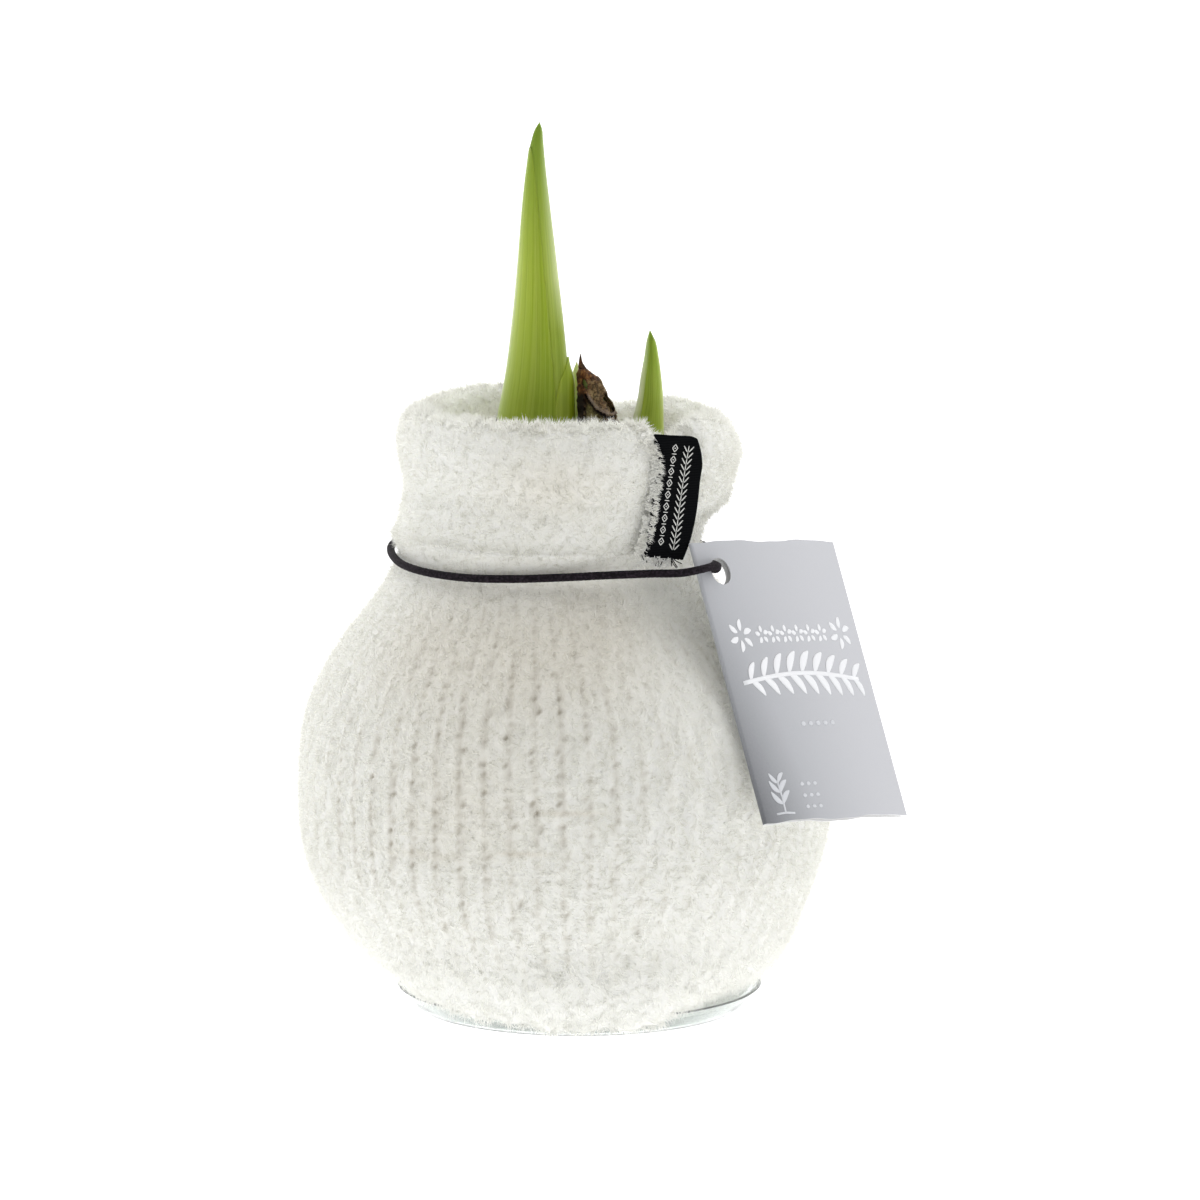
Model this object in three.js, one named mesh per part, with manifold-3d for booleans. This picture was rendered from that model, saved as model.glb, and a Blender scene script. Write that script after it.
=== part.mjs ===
// An amaryllis bulb dressed in a fluffy knitted cover, standing in a clear dish. A tall shoot, a
// short shoot and a bud in a dry brown scale grow out of its nose. An elastic cord round the
// cover's neck carries a folded card tag, and a woven label is sewn into the cuff's seam.
//
// Millimetres, +Z up. The origin is the centre of the dish's underside, and -Y is the front.
// Outlines are [height, ...] or [radius, height] rows, and each piece is one named mesh.

import * as THREE from "three";
import { mergeVertices } from "three/addons/utils/BufferGeometryUtils.js";
import Module from "manifold-3d";

const wasm = await Module();
wasm.setup();

// ---- Driving dimensions ----

const CLEARANCE = 0.3; // between a piece and the neighbour it is let into or lies against
const SIDES = { dish: 48, cover: 48, bulb: 40, leaf: 20, sliver: 12 }; // facets round each turned piece

const DISH = { footRadius: 32, rimRadius: 36.4, height: 4.5, wall: 1 };

// The cover's outside and inside, as [radius, height]: the hem is the lower edge of its folded cuff.
const COVER_FOOT = [
  [28, 1],
  [31.4, 1.6],
  [33.4, 3.2],
  [34.5, 4.8],
  [38.2, 8],
];
const COVER_BELLY = [
  [38.2, 8],
  [43.1, 13.2],
  [48, 21.7],
  [51.6, 31],
  [53.1, 42],
  [53, 50],
  [51, 60.3],
  [46.5, 68.8],
  [41.2, 75.4],
  [35.6, 81.4],
  [31.8, 86.5],
  [29.8, 90.3],
  [29.9, 93.4],
];
const COVER_CUFF = [
  [29.9, 93.4],
  [32.1, 94.6],
  [32.7, 98],
  [33, 104],
  [33.9, 110],
  [33.6, 114.5],
  [31.9, 118.2],
  [29, 119.7],
  [26.2, 118.7],
  [24.3, 115],
  [23.4, 110],
];
const COVER_INSIDE = [
  [23.4, 110],
  [23.2, 102],
  [23.7, 93],
  [26.2, 87],
  [30.6, 80],
  [37.2, 72],
  [43.5, 62],
  [46.8, 52],
  [47.2, 42],
  [45.1, 30],
  [39.4, 20],
  [31.6, 12],
  [24, 8],
];
const COVER_FLOOR = { radius: 21, height: 6 };
// The cover leans to the left on its way up and its cuff swings back: [height, shift in x].
const COVER_LEAN = [
  [1, 0],
  [8, -0.7],
  [22, -2.5],
  [50, -2.8],
  [68, -3.7],
  [81, -5.2],
  [92, -6.1],
  [98, -4.4],
  [105, -2.3],
  [120, -2.6],
];
// The mouth is higher at the back left: an azimuth runs from -Y towards +X.
const CREST_TILT = { start: 100, full: 119, rise: 0.9, droop: 0.2, azimuth: 215 };

const BULB_FLANK = [
  [20, 6],
  [22, 7.6],
  [30, 12.2],
  [38, 20],
  [43.8, 30],
  [46.2, 42],
  [45.8, 52],
  [42.4, 62],
  [36, 72],
  [29.3, 80],
  [24.6, 87],
  [21.2, 93],
  [19.4, 100],
  [18.6, 105],
  [16.6, 108.4],
  [12.6, 110.4],
  [7, 111],
];
const BULB_LEAN = [
  [6, -0.6],
  [22, -2.5],
  [50, -2.8],
  [68, -3.7],
  [81, -5],
  [92, -4.2],
  [100, -1.2],
  [108, 0],
];
const NOSE_TOP = 111;
const SOCKET_FLOOR = 102; // shoots, bud and scales stand on this level inside the nose

// Shoots, bud and scale, as [height, centre x, centre y, half width, half depth].
const TALL_SHOOT = [
  [102, -9.1, 0, 7.8, 5],
  [117.3, -8.9, 0, 7.3, 4.7],
  [126, -8.3, 0.1, 6.3, 4.1],
  [137, -8.1, 0.3, 5.1, 3.4],
  [148.5, -8.2, 0.5, 3.9, 2.7],
  [160, -8.4, 0.6, 2.75, 2],
  [166.5, -8.4, 0.6, 2, 1.5],
  [172, -8.2, 0.5, 1.15, 0.9],
  [175.2, -7.8, 0.5, 0, 0],
];
const TALL_SHOOT_PARTING = { x: -4.2, y: -3.9, height: 117, turn: 35, lean: -2.3 };
const COLLAR_LEAF = { thickness: 0.7, halfWidth: 4.6, shoulder: 120, tip: 128.8, behind: -4.7 };
const SIDE_LEAF = [
  [102, -0.2, 5.9, 2.2, 0.8],
  [116, -0.1, 5.7, 2, 0.8],
  [122, -0.3, 5.4, 1.5, 0.7],
  [126, -0.5, 5.1, 0.8, 0.5],
  [128.2, -0.5, 4.9, 0, 0],
];
const DRY_SCALE = [
  [102, 3.7, 0, 3.9, 3.6],
  [111, 3.7, 0, 3.9, 3.6],
  [117.7, 3.65, 0, 3.9, 3.5],
  [120.5, 3, 0, 3.25, 3.1],
  [122.8, 2.45, 0, 2.8, 2.6],
  [124.8, 1.95, 0, 2.3, 2],
  [126.3, 1.1, 0, 1.5, 1.3],
  [127.4, 0.65, 0, 0.7, 0.7],
  [129.6, 0.3, 0, 0, 0],
];
const DRY_SCALE_WALL = { side: 0.7, crown: 0.5 };
const DRY_SCALE_GAP = { from: 5.6, halfDepth: 0.9, top: 122.6 }; // the slit where the bud shows
const BUD = [
  [102, 3.7, 0, 2.8, 2.5],
  [111, 3.7, 0, 2.8, 2.5],
  [117, 3.6, 0, 2.75, 2.4],
  [120, 3, 0, 2.15, 2],
  [122.6, 2.4, 0, 1.6, 1.4],
  [123.9, 2, 0, 0.9, 0.8],
  [124.8, 1.8, 0, 0, 0],
];
const SHORT_SHOOT = [
  [102, 13.2, 0, 3.4, 2.6],
  [112, 13.4, 0, 3.3, 2.5],
  [117.5, 13.6, 0, 3.05, 2.3],
  [121.5, 14, 0, 2.55, 2],
  [125.5, 14.1, 0, 2.1, 1.7],
  [129.6, 14.2, 0, 1.45, 1.2],
  [132.6, 14.1, 0, 0.8, 0.7],
  [134.6, 13.9, 0, 0, 0],
];
const SHORT_SHOOT_PARTING = { x: 12, y: -2, height: 117, turn: 145, lean: -4.2 };
const LEFT_FLAKE = [
  [102, -15.3, -4.6, 1.1, 0.4],
  [112, -15.6, -4.3, 1, 0.4],
  [116, -16, -4.1, 0.7, 0.35],
  [118.2, -16.2, -3.9, 0, 0],
];
const RIGHT_CURL = [
  [104, 8.9, -2.6, 0.9, 0.5],
  [112, 9, -2.5, 0.9, 0.5],
  [115.5, 8.3, -2.6, 0.9, 0.5],
  [117.4, 6.9, -3.9, 0.8, 0.45],
  [118.3, 6, -4.6, 0, 0],
];

// The elastic cord: from its knot behind the neck round the left and the front, over the tag's
// edge, in through its hole and back along the right to the knot.
const CORD = { diameter: 1.6, steps: 76, quarterSides: 2 };
const CORD_KNOT = { x: -5, y: 32.6, z: 91.2, radius: 2 };
const CORD_ROUTE = [
  [-6.6, 32.2, 91.3],
  [-14, 31, 91.4],
  [-22, 27.8, 91.6],
  [-29.4, 22, 91.7],
  [-35, 13.4, 91.8],
  [-37.2, 4, 91.6],
  [-36.6, -5.8, 90.8],
  [-33.6, -15.6, 90.1],
  [-28, -23.2, 89.7],
  [-20.6, -28.5, 89.6],
  [-12, -31.6, 89.9],
  [-3, -32.4, 90.3],
  [6, -32.2, 90.7],
  [14, -32.1, 91],
  [20.6, -32.6, 91.3],
  [22.7, -31.9, 91.6],
  [24.6, -30.1, 91.8],
  [25.9, -28.2, 91.8],
  [26.4, -26.4, 91.5],
  [26.3, -24.5, 91],
  [25.9, -22.2, 90.5],
  [26.1, -18, 90.3],
  [26.8, -11, 90.4],
  [26.9, -3, 90.6],
  [25.1, 7, 91],
  [20.4, 17.6, 91.1],
  [12.8, 26.2, 91.2],
  [4, 31.4, 91.2],
  [-3.4, 32.5, 91.2],
];

// A folded card on the cord, with its fold on the left, leaning out on the belly.
const TAG = { width: 42.8, height: 56.8, leaf: 0.45, fold: 1.3, mouth: 2, bow: 0.5 };
const TAG_HOLE = { x: 27.3, y: -25, z: 90.4, diameter: 5.4, fromFold: 6.4, fromTop: 6.1 };
const TAG_TURN = { yaw: 50, tilt: 24.3, roll: 5.9 };

// A ribbon folded in two, sewn in by its left edge.
const LABEL_CORNER = { x: 15.9, y: -29.8, z: 117.4 };
const LABEL_TURN = { yaw: 26.7, tilt: -3.4, roll: 8 };
const LABEL_THICKNESS = 1;
const LABEL_OUTLINE = [
  [0, 0],
  [0, -23.4],
  [7.4, -23.6],
  [9.8, -15.5],
  [10.2, -8],
  [9.4, 0.3],
];

// ---- Geometry helpers ----

const radians = THREE.MathUtils.degToRad;

function positionsOnly(geometry) {
  geometry.deleteAttribute("normal");
  geometry.deleteAttribute("uv");
  return mergeVertices(geometry, 1e-3);
}

function smooth(rows, divisions) {
  const points = rows.map(([x, y]) => new THREE.Vector2(x, y));
  return new THREE.SplineCurve(points).getPoints(divisions).map((p) => [p.x, p.y]);
}

function turned(rows, sides) {
  const points = rows.map(([radius, height]) => new THREE.Vector2(radius, height));
  return positionsOnly(new THREE.LatheGeometry(points, sides).rotateX(Math.PI / 2));
}

// Rows of [key, ...values] as a function from a key to its values, smooth between the rows.
function smoothTable(rows) {
  const keys = rows.map((row) => row[0]);
  const values = rows.flatMap((row) => row.slice(1));
  const curve = new THREE.CubicInterpolant(keys, values, rows[0].length - 1);
  return (key) => Array.from(curve.evaluate(key));
}

function moved(geometry, place) {
  const position = geometry.getAttribute("position");
  const point = new THREE.Vector3();
  for (let i = 0; i < position.count; i++) {
    place(point.fromBufferAttribute(position, i));
    position.setXYZ(i, point.x, point.y, point.z);
  }
  return geometry;
}

function leaned(geometry, rows) {
  const shift = smoothTable(rows);
  return moved(geometry, (p) => (p.x += shift(p.z)[0]));
}

// A closed pointed column through rows of [height, x, y, half width, half depth].
function grown(rows, { extra = 0, sides = SIDES.leaf, rings = 14 } = {}) {
  const at = smoothTable(rows);
  const base = rows[0][0];
  const tip = rows[rows.length - 1][0];
  const outline = [[0, base]];
  for (let i = 0; i < rings; i++) {
    const share = 1 - (1 - i / rings) ** 1.3;
    outline.push([1, base + (tip - base) * share]);
  }
  outline.push([0, tip + extra]);
  return moved(turned(outline, sides), (p) => {
    const [x, y, halfWidth, halfDepth] = at(p.z);
    p.x = x + p.x * (halfWidth + extra);
    p.y = y + p.y * (halfDepth + extra);
  });
}

function solidOf(geometry) {
  const mesh = { numProp: 3, vertProperties: geometry.attributes.position.array };
  return new wasm.Manifold(new wasm.Mesh({ ...mesh, triVerts: new Uint32Array(geometry.index.array) }));
}

function geometryOf(solid) {
  const mesh = solid.getMesh();
  return new THREE.BufferGeometry()
    .setAttribute("position", new THREE.BufferAttribute(mesh.vertProperties, 3))
    .setIndex(new THREE.BufferAttribute(mesh.triVerts, 1));
}

function block([x0, y0, z0], [x1, y1, z1]) {
  const box = new THREE.BoxGeometry(x1 - x0, y1 - y0, z1 - z0);
  return positionsOnly(box.translate((x0 + x1) / 2, (y0 + y1) / 2, (z0 + z1) / 2));
}

// A large block on the far side of a shoot's parting: a plane turned about +Z and leaned.
function beyond({ x, y, height, turn, lean }, gap) {
  const reach = 120;
  return block([gap, -reach, -reach], [reach, reach, reach])
    .rotateY(radians(lean))
    .rotateZ(radians(turn))
    .translate(x, y, height);
}

function extruded(shape, depth, curveSegments = 12) {
  const settings = { depth, bevelEnabled: false, curveSegments };
  return positionsOnly(new THREE.ExtrudeGeometry(shape, settings));
}

// ---- Pieces ----

function dishGeometry() {
  const { footRadius, rimRadius, height, wall } = DISH;
  const outside = [
    [0, 0],
    [footRadius, 0],
    [footRadius + 1.2, 0.4],
    [rimRadius - 1, height - 0.9],
    [rimRadius, height - 0.5],
    [rimRadius, height],
  ];
  const inside = [
    [rimRadius - 1.4, height],
    [rimRadius - 1.8, height - 0.6],
    [footRadius + 0.4, wall],
    [0, wall],
  ];
  return turned([...outside, ...inside], SIDES.dish);
}

function crestTilted(geometry) {
  const { start, full, rise, droop, azimuth } = CREST_TILT;
  return moved(geometry, (p) => {
    const share = THREE.MathUtils.smoothstep(p.z, start, full);
    const around = Math.atan2(p.x, -p.y) - radians(azimuth);
    p.z += share * (rise * Math.cos(around) - droop);
  });
}

function coverGeometry() {
  const outline = [
    [0, COVER_FOOT[0][1]],
    ...smooth(COVER_FOOT, 5),
    ...smooth(COVER_BELLY, 14).slice(1),
    ...smooth(COVER_CUFF, 14).slice(1),
    ...smooth(COVER_INSIDE, 14).slice(1),
    [COVER_FLOOR.radius, COVER_FLOOR.height],
    [0, COVER_FLOOR.height],
  ];
  return crestTilted(leaned(turned(outline, SIDES.cover), COVER_LEAN));
}

function socket(rows) {
  const [[floor, x, y, halfWidth, halfDepth]] = rows;
  const shape = new THREE.Shape().absellipse(
    x, y, halfWidth + CLEARANCE, halfDepth + CLEARANCE, 0, 2 * Math.PI);
  const depth = NOSE_TOP - floor + 5;
  return solidOf(extruded(shape, depth).translate(0, 0, floor));
}

function bulbGeometry() {
  const outline = [[0, BULB_FLANK[0][1]], ...smooth(BULB_FLANK, 24), [0, NOSE_TOP]];
  let bulb = solidOf(leaned(turned(outline, SIDES.bulb), BULB_LEAN));
  const grownOut = COLLAR_LEAF.thickness + CLEARANCE;
  const collar = TALL_SHOOT.map(([z, x, y, w, d]) => [z, x, y, w + grownOut, d + grownOut]);
  for (const rows of [collar, SIDE_LEAF, DRY_SCALE, SHORT_SHOOT, LEFT_FLAKE, RIGHT_CURL])
    bulb = bulb.subtract(socket(rows));
  return geometryOf(bulb);
}

// A shoot of two leaves pressed together along a slanting parting: its near and its far leaf.
function shootLeaves(rows, parting) {
  const shoot = solidOf(grown(rows));
  return [
    geometryOf(shoot.subtract(solidOf(beyond(parting, -CLEARANCE / 2)))),
    geometryOf(shoot.intersect(solidOf(beyond(parting, CLEARANCE / 2)))),
  ];
}

// The short leaf that clasps the tall shoot's right side, cut from a sleeve round the shoot.
function collarLeafGeometry() {
  const { thickness, halfWidth, shoulder, tip, behind } = COLLAR_LEAF;
  const sleeve = solidOf(grown(TALL_SHOOT, { extra: CLEARANCE + thickness }))
    .subtract(solidOf(grown(TALL_SHOOT, { extra: CLEARANCE })));
  const face = new THREE.Shape();
  face.moveTo(-halfWidth, SOCKET_FLOOR);
  face.lineTo(halfWidth, SOCKET_FLOOR);
  face.lineTo(halfWidth, shoulder - 4);
  face.quadraticCurveTo(halfWidth, shoulder, 0, tip);
  face.quadraticCurveTo(-halfWidth, shoulder, -halfWidth, shoulder - 4);
  face.closePath();
  const reach = 10;
  const cutter = extruded(face, reach).rotateX(Math.PI / 2).rotateZ(Math.PI / 2);
  return geometryOf(sleeve.intersect(solidOf(cutter.translate(behind, 0, 0))));
}

// A hood round the bud: open below, slit on the right.
function dryScaleGeometry() {
  const { side, crown } = DRY_SCALE_WALL;
  const hood = solidOf(grown(DRY_SCALE));
  const inner = DRY_SCALE.map(([z, x, y, w, d]) => [
    z, x, y, Math.max(w - side, 0), Math.max(d - side, 0)]);
  const hollow = solidOf(grown(inner.slice(0, -2)).translate(0, 0, -crown));
  const { from, halfDepth, top } = DRY_SCALE_GAP;
  const slit = solidOf(block([from, -halfDepth, SOCKET_FLOOR - 1], [from + 5, halfDepth, top]));
  return geometryOf(hood.subtract(hollow).subtract(slit));
}

function cordGeometry() {
  const route = new THREE.CatmullRomCurve3(CORD_ROUTE.map((p) => new THREE.Vector3(...p)));
  const section = new THREE.Shape().absarc(0, 0, CORD.diameter / 2, 0, 2 * Math.PI);
  const curveSegments = 2 * CORD.quarterSides;
  const settings = { steps: CORD.steps, extrudePath: route, curveSegments, bevelEnabled: false };
  const cord = solidOf(positionsOnly(new THREE.ExtrudeGeometry(section, settings)));
  const { x, y, z, radius } = CORD_KNOT;
  const knot = new THREE.SphereGeometry(radius, 12, 8).scale(1.1, 0.8, 0.8).translate(x, y, z);
  return geometryOf(cord.add(solidOf(positionsOnly(knot))));
}

// The card's section is a narrow V lying along +X: a bowed front leaf, the fold and a flat back
// leaf. Its hole's centre is the local origin, +Y is up the card and +Z out of its face.
function tagGeometry() {
  const { width, height, leaf, fold, mouth, bow } = TAG;
  const section = new THREE.Shape();
  section.moveTo(fold / 2, 0);
  section.quadraticCurveTo(width / 2, 2 * bow, width, 0);
  section.lineTo(width, -leaf);
  section.quadraticCurveTo(width / 2, 2 * bow - leaf, fold, -leaf);
  section.lineTo(fold, leaf - fold);
  section.lineTo(width, leaf - mouth);
  section.lineTo(width, -mouth);
  section.lineTo(fold / 2, -fold);
  section.quadraticCurveTo(-fold / 4, -fold / 2, fold / 2, 0);
  const { fromFold, fromTop, diameter } = TAG_HOLE;
  const card = extruded(section, height, 8).rotateX(Math.PI / 2).translate(-fromFold, fromTop, 0);
  const punch = new THREE.CylinderGeometry(diameter / 2, diameter / 2, 10, 24).rotateX(Math.PI / 2);
  return geometryOf(solidOf(card).subtract(solidOf(positionsOnly(punch))));
}

function labelGeometry() {
  const outline = new THREE.Shape(LABEL_OUTLINE.map(([x, y]) => new THREE.Vector2(x, y)));
  return extruded(outline, LABEL_THICKNESS);
}

// ---- Assembly ----

function piece(name, geometry, color, roughness, more = {}) {
  const material = new THREE.MeshStandardMaterial({ color, roughness, metalness: 0, ...more });
  const mesh = new THREE.Mesh(geometry, material);
  mesh.name = name;
  return mesh;
}

// A flat piece's local frame (+X along it, +Y up it, +Z out of its face) faces -Y before it turns:
// yaw swings the face towards +X, tilt tips it upwards and roll turns it clockwise.
function faced(mesh, { x, y, z }, { yaw, tilt, roll }) {
  mesh.rotation.z = radians(-roll);
  const tipped = new THREE.Group().add(mesh);
  tipped.rotation.x = radians(90 - tilt);
  const swung = new THREE.Group().add(tipped);
  swung.rotation.z = radians(yaw);
  swung.position.set(x, y, z);
  return swung;
}

const GREEN = "#869a35";
const PALE_GREEN = "#a3b068";
const BROWN = "#69563f";

const [tallNear, tallFar] = shootLeaves(TALL_SHOOT, TALL_SHOOT_PARTING);
const [shortNear, shortFar] = shootLeaves(SHORT_SHOOT, SHORT_SHOOT_PARTING);

const plant = new THREE.Group().add(
  piece("bulb", bulbGeometry(), "#8a6a45", 0.7),
  piece("tall_shoot_near_leaf", tallNear, GREEN, 0.45),
  piece("tall_shoot_far_leaf", tallFar, PALE_GREEN, 0.45),
  piece("tall_shoot_collar_leaf", collarLeafGeometry(), GREEN, 0.45),
  piece("side_leaf", grown(SIDE_LEAF), PALE_GREEN, 0.5),
  piece("short_shoot_near_leaf", shortNear, GREEN, 0.45),
  piece("short_shoot_far_leaf", shortFar, PALE_GREEN, 0.45),
  piece("bud", grown(BUD), GREEN, 0.5),
  piece("dry_scale", dryScaleGeometry(), BROWN, 0.85),
  piece("dry_flake_left", grown(LEFT_FLAKE, { sides: SIDES.sliver, rings: 8 }), BROWN, 0.85),
  piece("dry_curl_right", grown(RIGHT_CURL, { sides: SIDES.sliver, rings: 10 }), BROWN, 0.85),
);

const dressing = new THREE.Group().add(
  piece("knit_cover", coverGeometry(), "#e8e8e0", 0.95),
  piece("elastic_cord", cordGeometry(), "#26202a", 0.8),
  faced(piece("woven_label", labelGeometry(), "#181a1c", 0.8), LABEL_CORNER, LABEL_TURN),
  faced(piece("hang_tag", tagGeometry(), "#c4c5ca", 0.5), TAG_HOLE, TAG_TURN),
);

const dish = piece("dish", dishGeometry(), "#eef0ea", 0.1, { transparent: true, opacity: 0.35 });

const amaryllis = new THREE.Group().add(dish, plant, dressing);

export default amaryllis;
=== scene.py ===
import math

import bmesh
import bpy
import numpy as np
from mathutils import Matrix, Vector, noise


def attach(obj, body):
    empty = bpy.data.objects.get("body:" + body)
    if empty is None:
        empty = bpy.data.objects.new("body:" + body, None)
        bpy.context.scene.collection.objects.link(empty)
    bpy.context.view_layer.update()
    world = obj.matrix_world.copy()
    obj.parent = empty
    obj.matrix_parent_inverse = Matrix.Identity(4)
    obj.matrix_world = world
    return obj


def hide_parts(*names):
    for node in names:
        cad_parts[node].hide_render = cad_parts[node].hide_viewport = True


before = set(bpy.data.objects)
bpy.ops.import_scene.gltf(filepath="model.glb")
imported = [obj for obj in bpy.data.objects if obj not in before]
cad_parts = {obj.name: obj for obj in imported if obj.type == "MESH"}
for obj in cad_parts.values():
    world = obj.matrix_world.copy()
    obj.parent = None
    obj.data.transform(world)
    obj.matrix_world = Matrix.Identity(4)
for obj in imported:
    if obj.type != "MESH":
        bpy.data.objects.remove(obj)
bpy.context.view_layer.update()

# Shapes are worked in millimetres, as the CAD gives them, and shrunk to metres when a piece is done.
MM = 0.001
FULL_TURN = 2 * math.pi

# ---- Camera and studio ----

CAMERA_PLACE = (4.1, -1153.0, 249.0)
CAMERA_PITCH = 8.28
CAMERA_LENS = 176.55
SENSOR = 36.0

FLOOR_HALF_WIDTH = 9.0
FLOOR_GLOW = 1.26
SKY_BACK, SKY_FRONT, SKY_ABOVE = 1.28, 0.24, 0.74
SKY_SIDES = (-0.7, 0.45)
SKY_LIFT = 0.4

# ---- Knitted cover: [radius, height] from the middle of its foot, up the outside and down inside ----

COVER_FOOT = [[0, 1], [14, 1], [28, 1], [31.4, 1.6], [33.4, 3.2], [34.5, 4.8]]
COVER_BELLY = [
    [38.2, 8], [43.1, 13.2], [48, 21.7], [51.6, 31], [53.1, 42], [53, 50], [51, 60.3],
    [46.5, 68.8], [41.2, 75.4], [35.6, 81.4], [31.8, 86.5], [29.8, 90.3], [29.9, 93.4],
]
COVER_CUFF = [
    [32.1, 94.6], [32.7, 98], [33, 104], [33.9, 110], [33.6, 114.5], [31.9, 118.2],
    [29, 119.7], [26.2, 118.7], [24.3, 115], [23.4, 110],
]
COVER_LINING = [
    [23.2, 102], [23.7, 93], [26.2, 87], [30.6, 80], [37.2, 72], [43.5, 62], [46.8, 52],
    [47.2, 42], [45.1, 30], [39.4, 20], [31.6, 12], [24, 8], [12, 6], [0, 6],
]
COVER_LEAN = [
    [0, 0], [8, -0.7], [22, -2.5], [50, -2.8], [68, -3.7], [81, -5.2], [92, -6.1], [98, -4.4],
    [105, -2.3], [120, -2.6],
]
CREST_TILT = {"start": 100, "full": 119, "rise": 0.9, "droop": 0.2, "azimuth": 215}
WALES = 64
COURSE = 2.55


def smooth(knots, values, at):
    """A smooth curve through values at rising knots, read at `at`."""
    knots, values, at = (np.asarray(x, float) for x in (knots, values, at))
    slopes = np.gradient(values, knots, axis=0)
    i = np.clip(np.searchsorted(knots, at, side="right") - 1, 0, len(knots) - 2)
    step = knots[i + 1] - knots[i]
    t = (at - knots[i]) / step
    if values.ndim > 1:
        step, t = step[..., None], t[..., None]
    rise = (1 + 2 * t) * (1 - t) ** 2 * values[i] + t * (1 - t) ** 2 * step * slopes[i]
    return rise + t * t * (3 - 2 * t) * values[i + 1] - t * t * (1 - t) * step * slopes[i + 1]


def smoothstep(low, high, x):
    """0 at low and 1 at high, with a soft start and end."""
    t = np.clip((x - low) / (high - low), 0, 1)
    return t * t * (3 - 2 * t)


def angle_from(centre, turn):
    """The angle from centre, in degrees, round to turn, in radians, as -pi to pi."""
    return (np.asarray(turn) - math.radians(centre) + math.pi) % FULL_TURN - math.pi


def bump_at(turn, centre, width):
    """1 at the angle centre, in degrees, falling smoothly to 0 at width degrees to each side."""
    return 1 - smoothstep(0, math.radians(width), np.abs(angle_from(centre, turn)))


# ---- Making pieces ----


def linear(red, green, blue):
    """A colour given in sRGB, 0 to 255, as Blender's linear RGBA."""
    def one(c):
        c /= 255
        return c / 12.92 if c <= 0.04045 else ((c + 0.055) / 1.055) ** 2.4
    return (one(red), one(green), one(blue), 1.0)


def finished(name, mesh, material, stands_for=(), smooth_faces=True):
    """Puts a mesh, in metres, in the scene as a piece that rides on the root body."""
    mesh.name = name
    if smooth_faces:
        mesh.shade_smooth()
    else:
        mesh.shade_flat()
    mesh.materials.clear()
    mesh.materials.append(material)
    piece = bpy.data.objects.new(name, mesh)
    bpy.context.scene.collection.objects.link(piece)
    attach(piece, "root")
    if stands_for:
        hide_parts(*stands_for)
    return piece


def as_mesh(bm, tidy=True):
    """Closes a bmesh, worked in millimetres, and gives it as a mesh in metres."""
    if tidy:
        bmesh.ops.remove_doubles(bm, verts=bm.verts, dist=1e-4)
        bmesh.ops.recalc_face_normals(bm, faces=bm.faces)
        if bm.calc_volume(signed=True) < 0:
            bmesh.ops.reverse_faces(bm, faces=bm.faces)
    bmesh.ops.scale(bm, verts=bm.verts, vec=(MM, MM, MM))
    mesh = bpy.data.meshes.new("piece")
    bm.to_mesh(mesh)
    bm.free()
    return mesh


def spun(outline, steps):
    """A shape turned about +Z from an outline of [radius, height]."""
    bm = bmesh.new()
    points = [bm.verts.new((radius, 0, height)) for radius, height in outline]
    edges = [bm.edges.new(pair) for pair in zip(points, points[1:])]
    bmesh.ops.spin(bm, geom=points + edges, cent=(0, 0, 0), axis=(0, 0, 1), angle=FULL_TURN,
                   steps=steps, use_merge=True)
    bmesh.ops.remove_doubles(bm, verts=bm.verts, dist=1e-4)
    return bm


def tube(route, radii, sides, closed=False, flat=1.0, bm=None, up=(0, 0, 1), relief=None):
    """A tube along route. radii is one number or one for each point; flat squeezes it along up,
    and relief(angle, length) scales its radius."""
    bm = bm or bmesh.new()
    route = np.asarray(route, float)
    count = len(route)
    radii = np.broadcast_to(np.asarray(radii, float), count)
    if closed:
        ways = np.roll(route, -1, axis=0) - np.roll(route, 1, axis=0)
    else:
        ways = np.gradient(route, axis=0)
    lengths = np.concatenate([[0], np.cumsum(np.linalg.norm(np.diff(route, axis=0), axis=1))])
    loops = []
    for point, way, radius, length in zip(route, ways, radii, lengths):
        way = Vector(way).normalized()
        across = Vector(up).cross(way)
        if across.length < 1e-3:
            across = Vector((1, 0, 0)).cross(way)
        across.normalize()
        place = Matrix((across, way.cross(across), way)).transposed().to_4x4()
        place.translation = Vector(point)
        ring = bmesh.ops.create_circle(bm, segments=sides, radius=radius,
                                       matrix=place @ Matrix.Diagonal((1, flat, 1, 1)))
        if relief:
            for i, vert in enumerate(ring["verts"]):
                scale = relief(FULL_TURN * i / sides, length)
                vert.co = place.translation + (vert.co - place.translation) * scale
        loops.append(list(dict.fromkeys(e for v in ring["verts"] for e in v.link_edges)))
    pairs = zip(loops, loops[1:] + loops[:1]) if closed else zip(loops, loops[1:])
    for one, two in pairs:
        bmesh.ops.bridge_loops(bm, edges=one + two)
    if not closed:
        for loop in (loops[0], loops[-1]):
            bmesh.ops.edgeloop_fill(bm, edges=loop)
    return bm


def sheet_grid(wide, tall, place):
    """A grid from -1 to 1 across and 0 to 1 up, with each point put where place(a, b) says."""
    bm = bmesh.new()
    bmesh.ops.create_grid(bm, x_segments=wide, y_segments=tall, size=1)
    for vert in bm.verts:
        vert.co = place(vert.co.x, (vert.co.y + 1) / 2)
    return bm


def thickened(bm, thick):
    """A sheet's wall, added behind its faces."""
    bmesh.ops.remove_doubles(bm, verts=bm.verts, dist=1e-3)
    bmesh.ops.recalc_face_normals(bm, faces=bm.faces)
    bmesh.ops.solidify(bm, geom=bm.faces[:], thickness=thick)
    return bm


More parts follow.
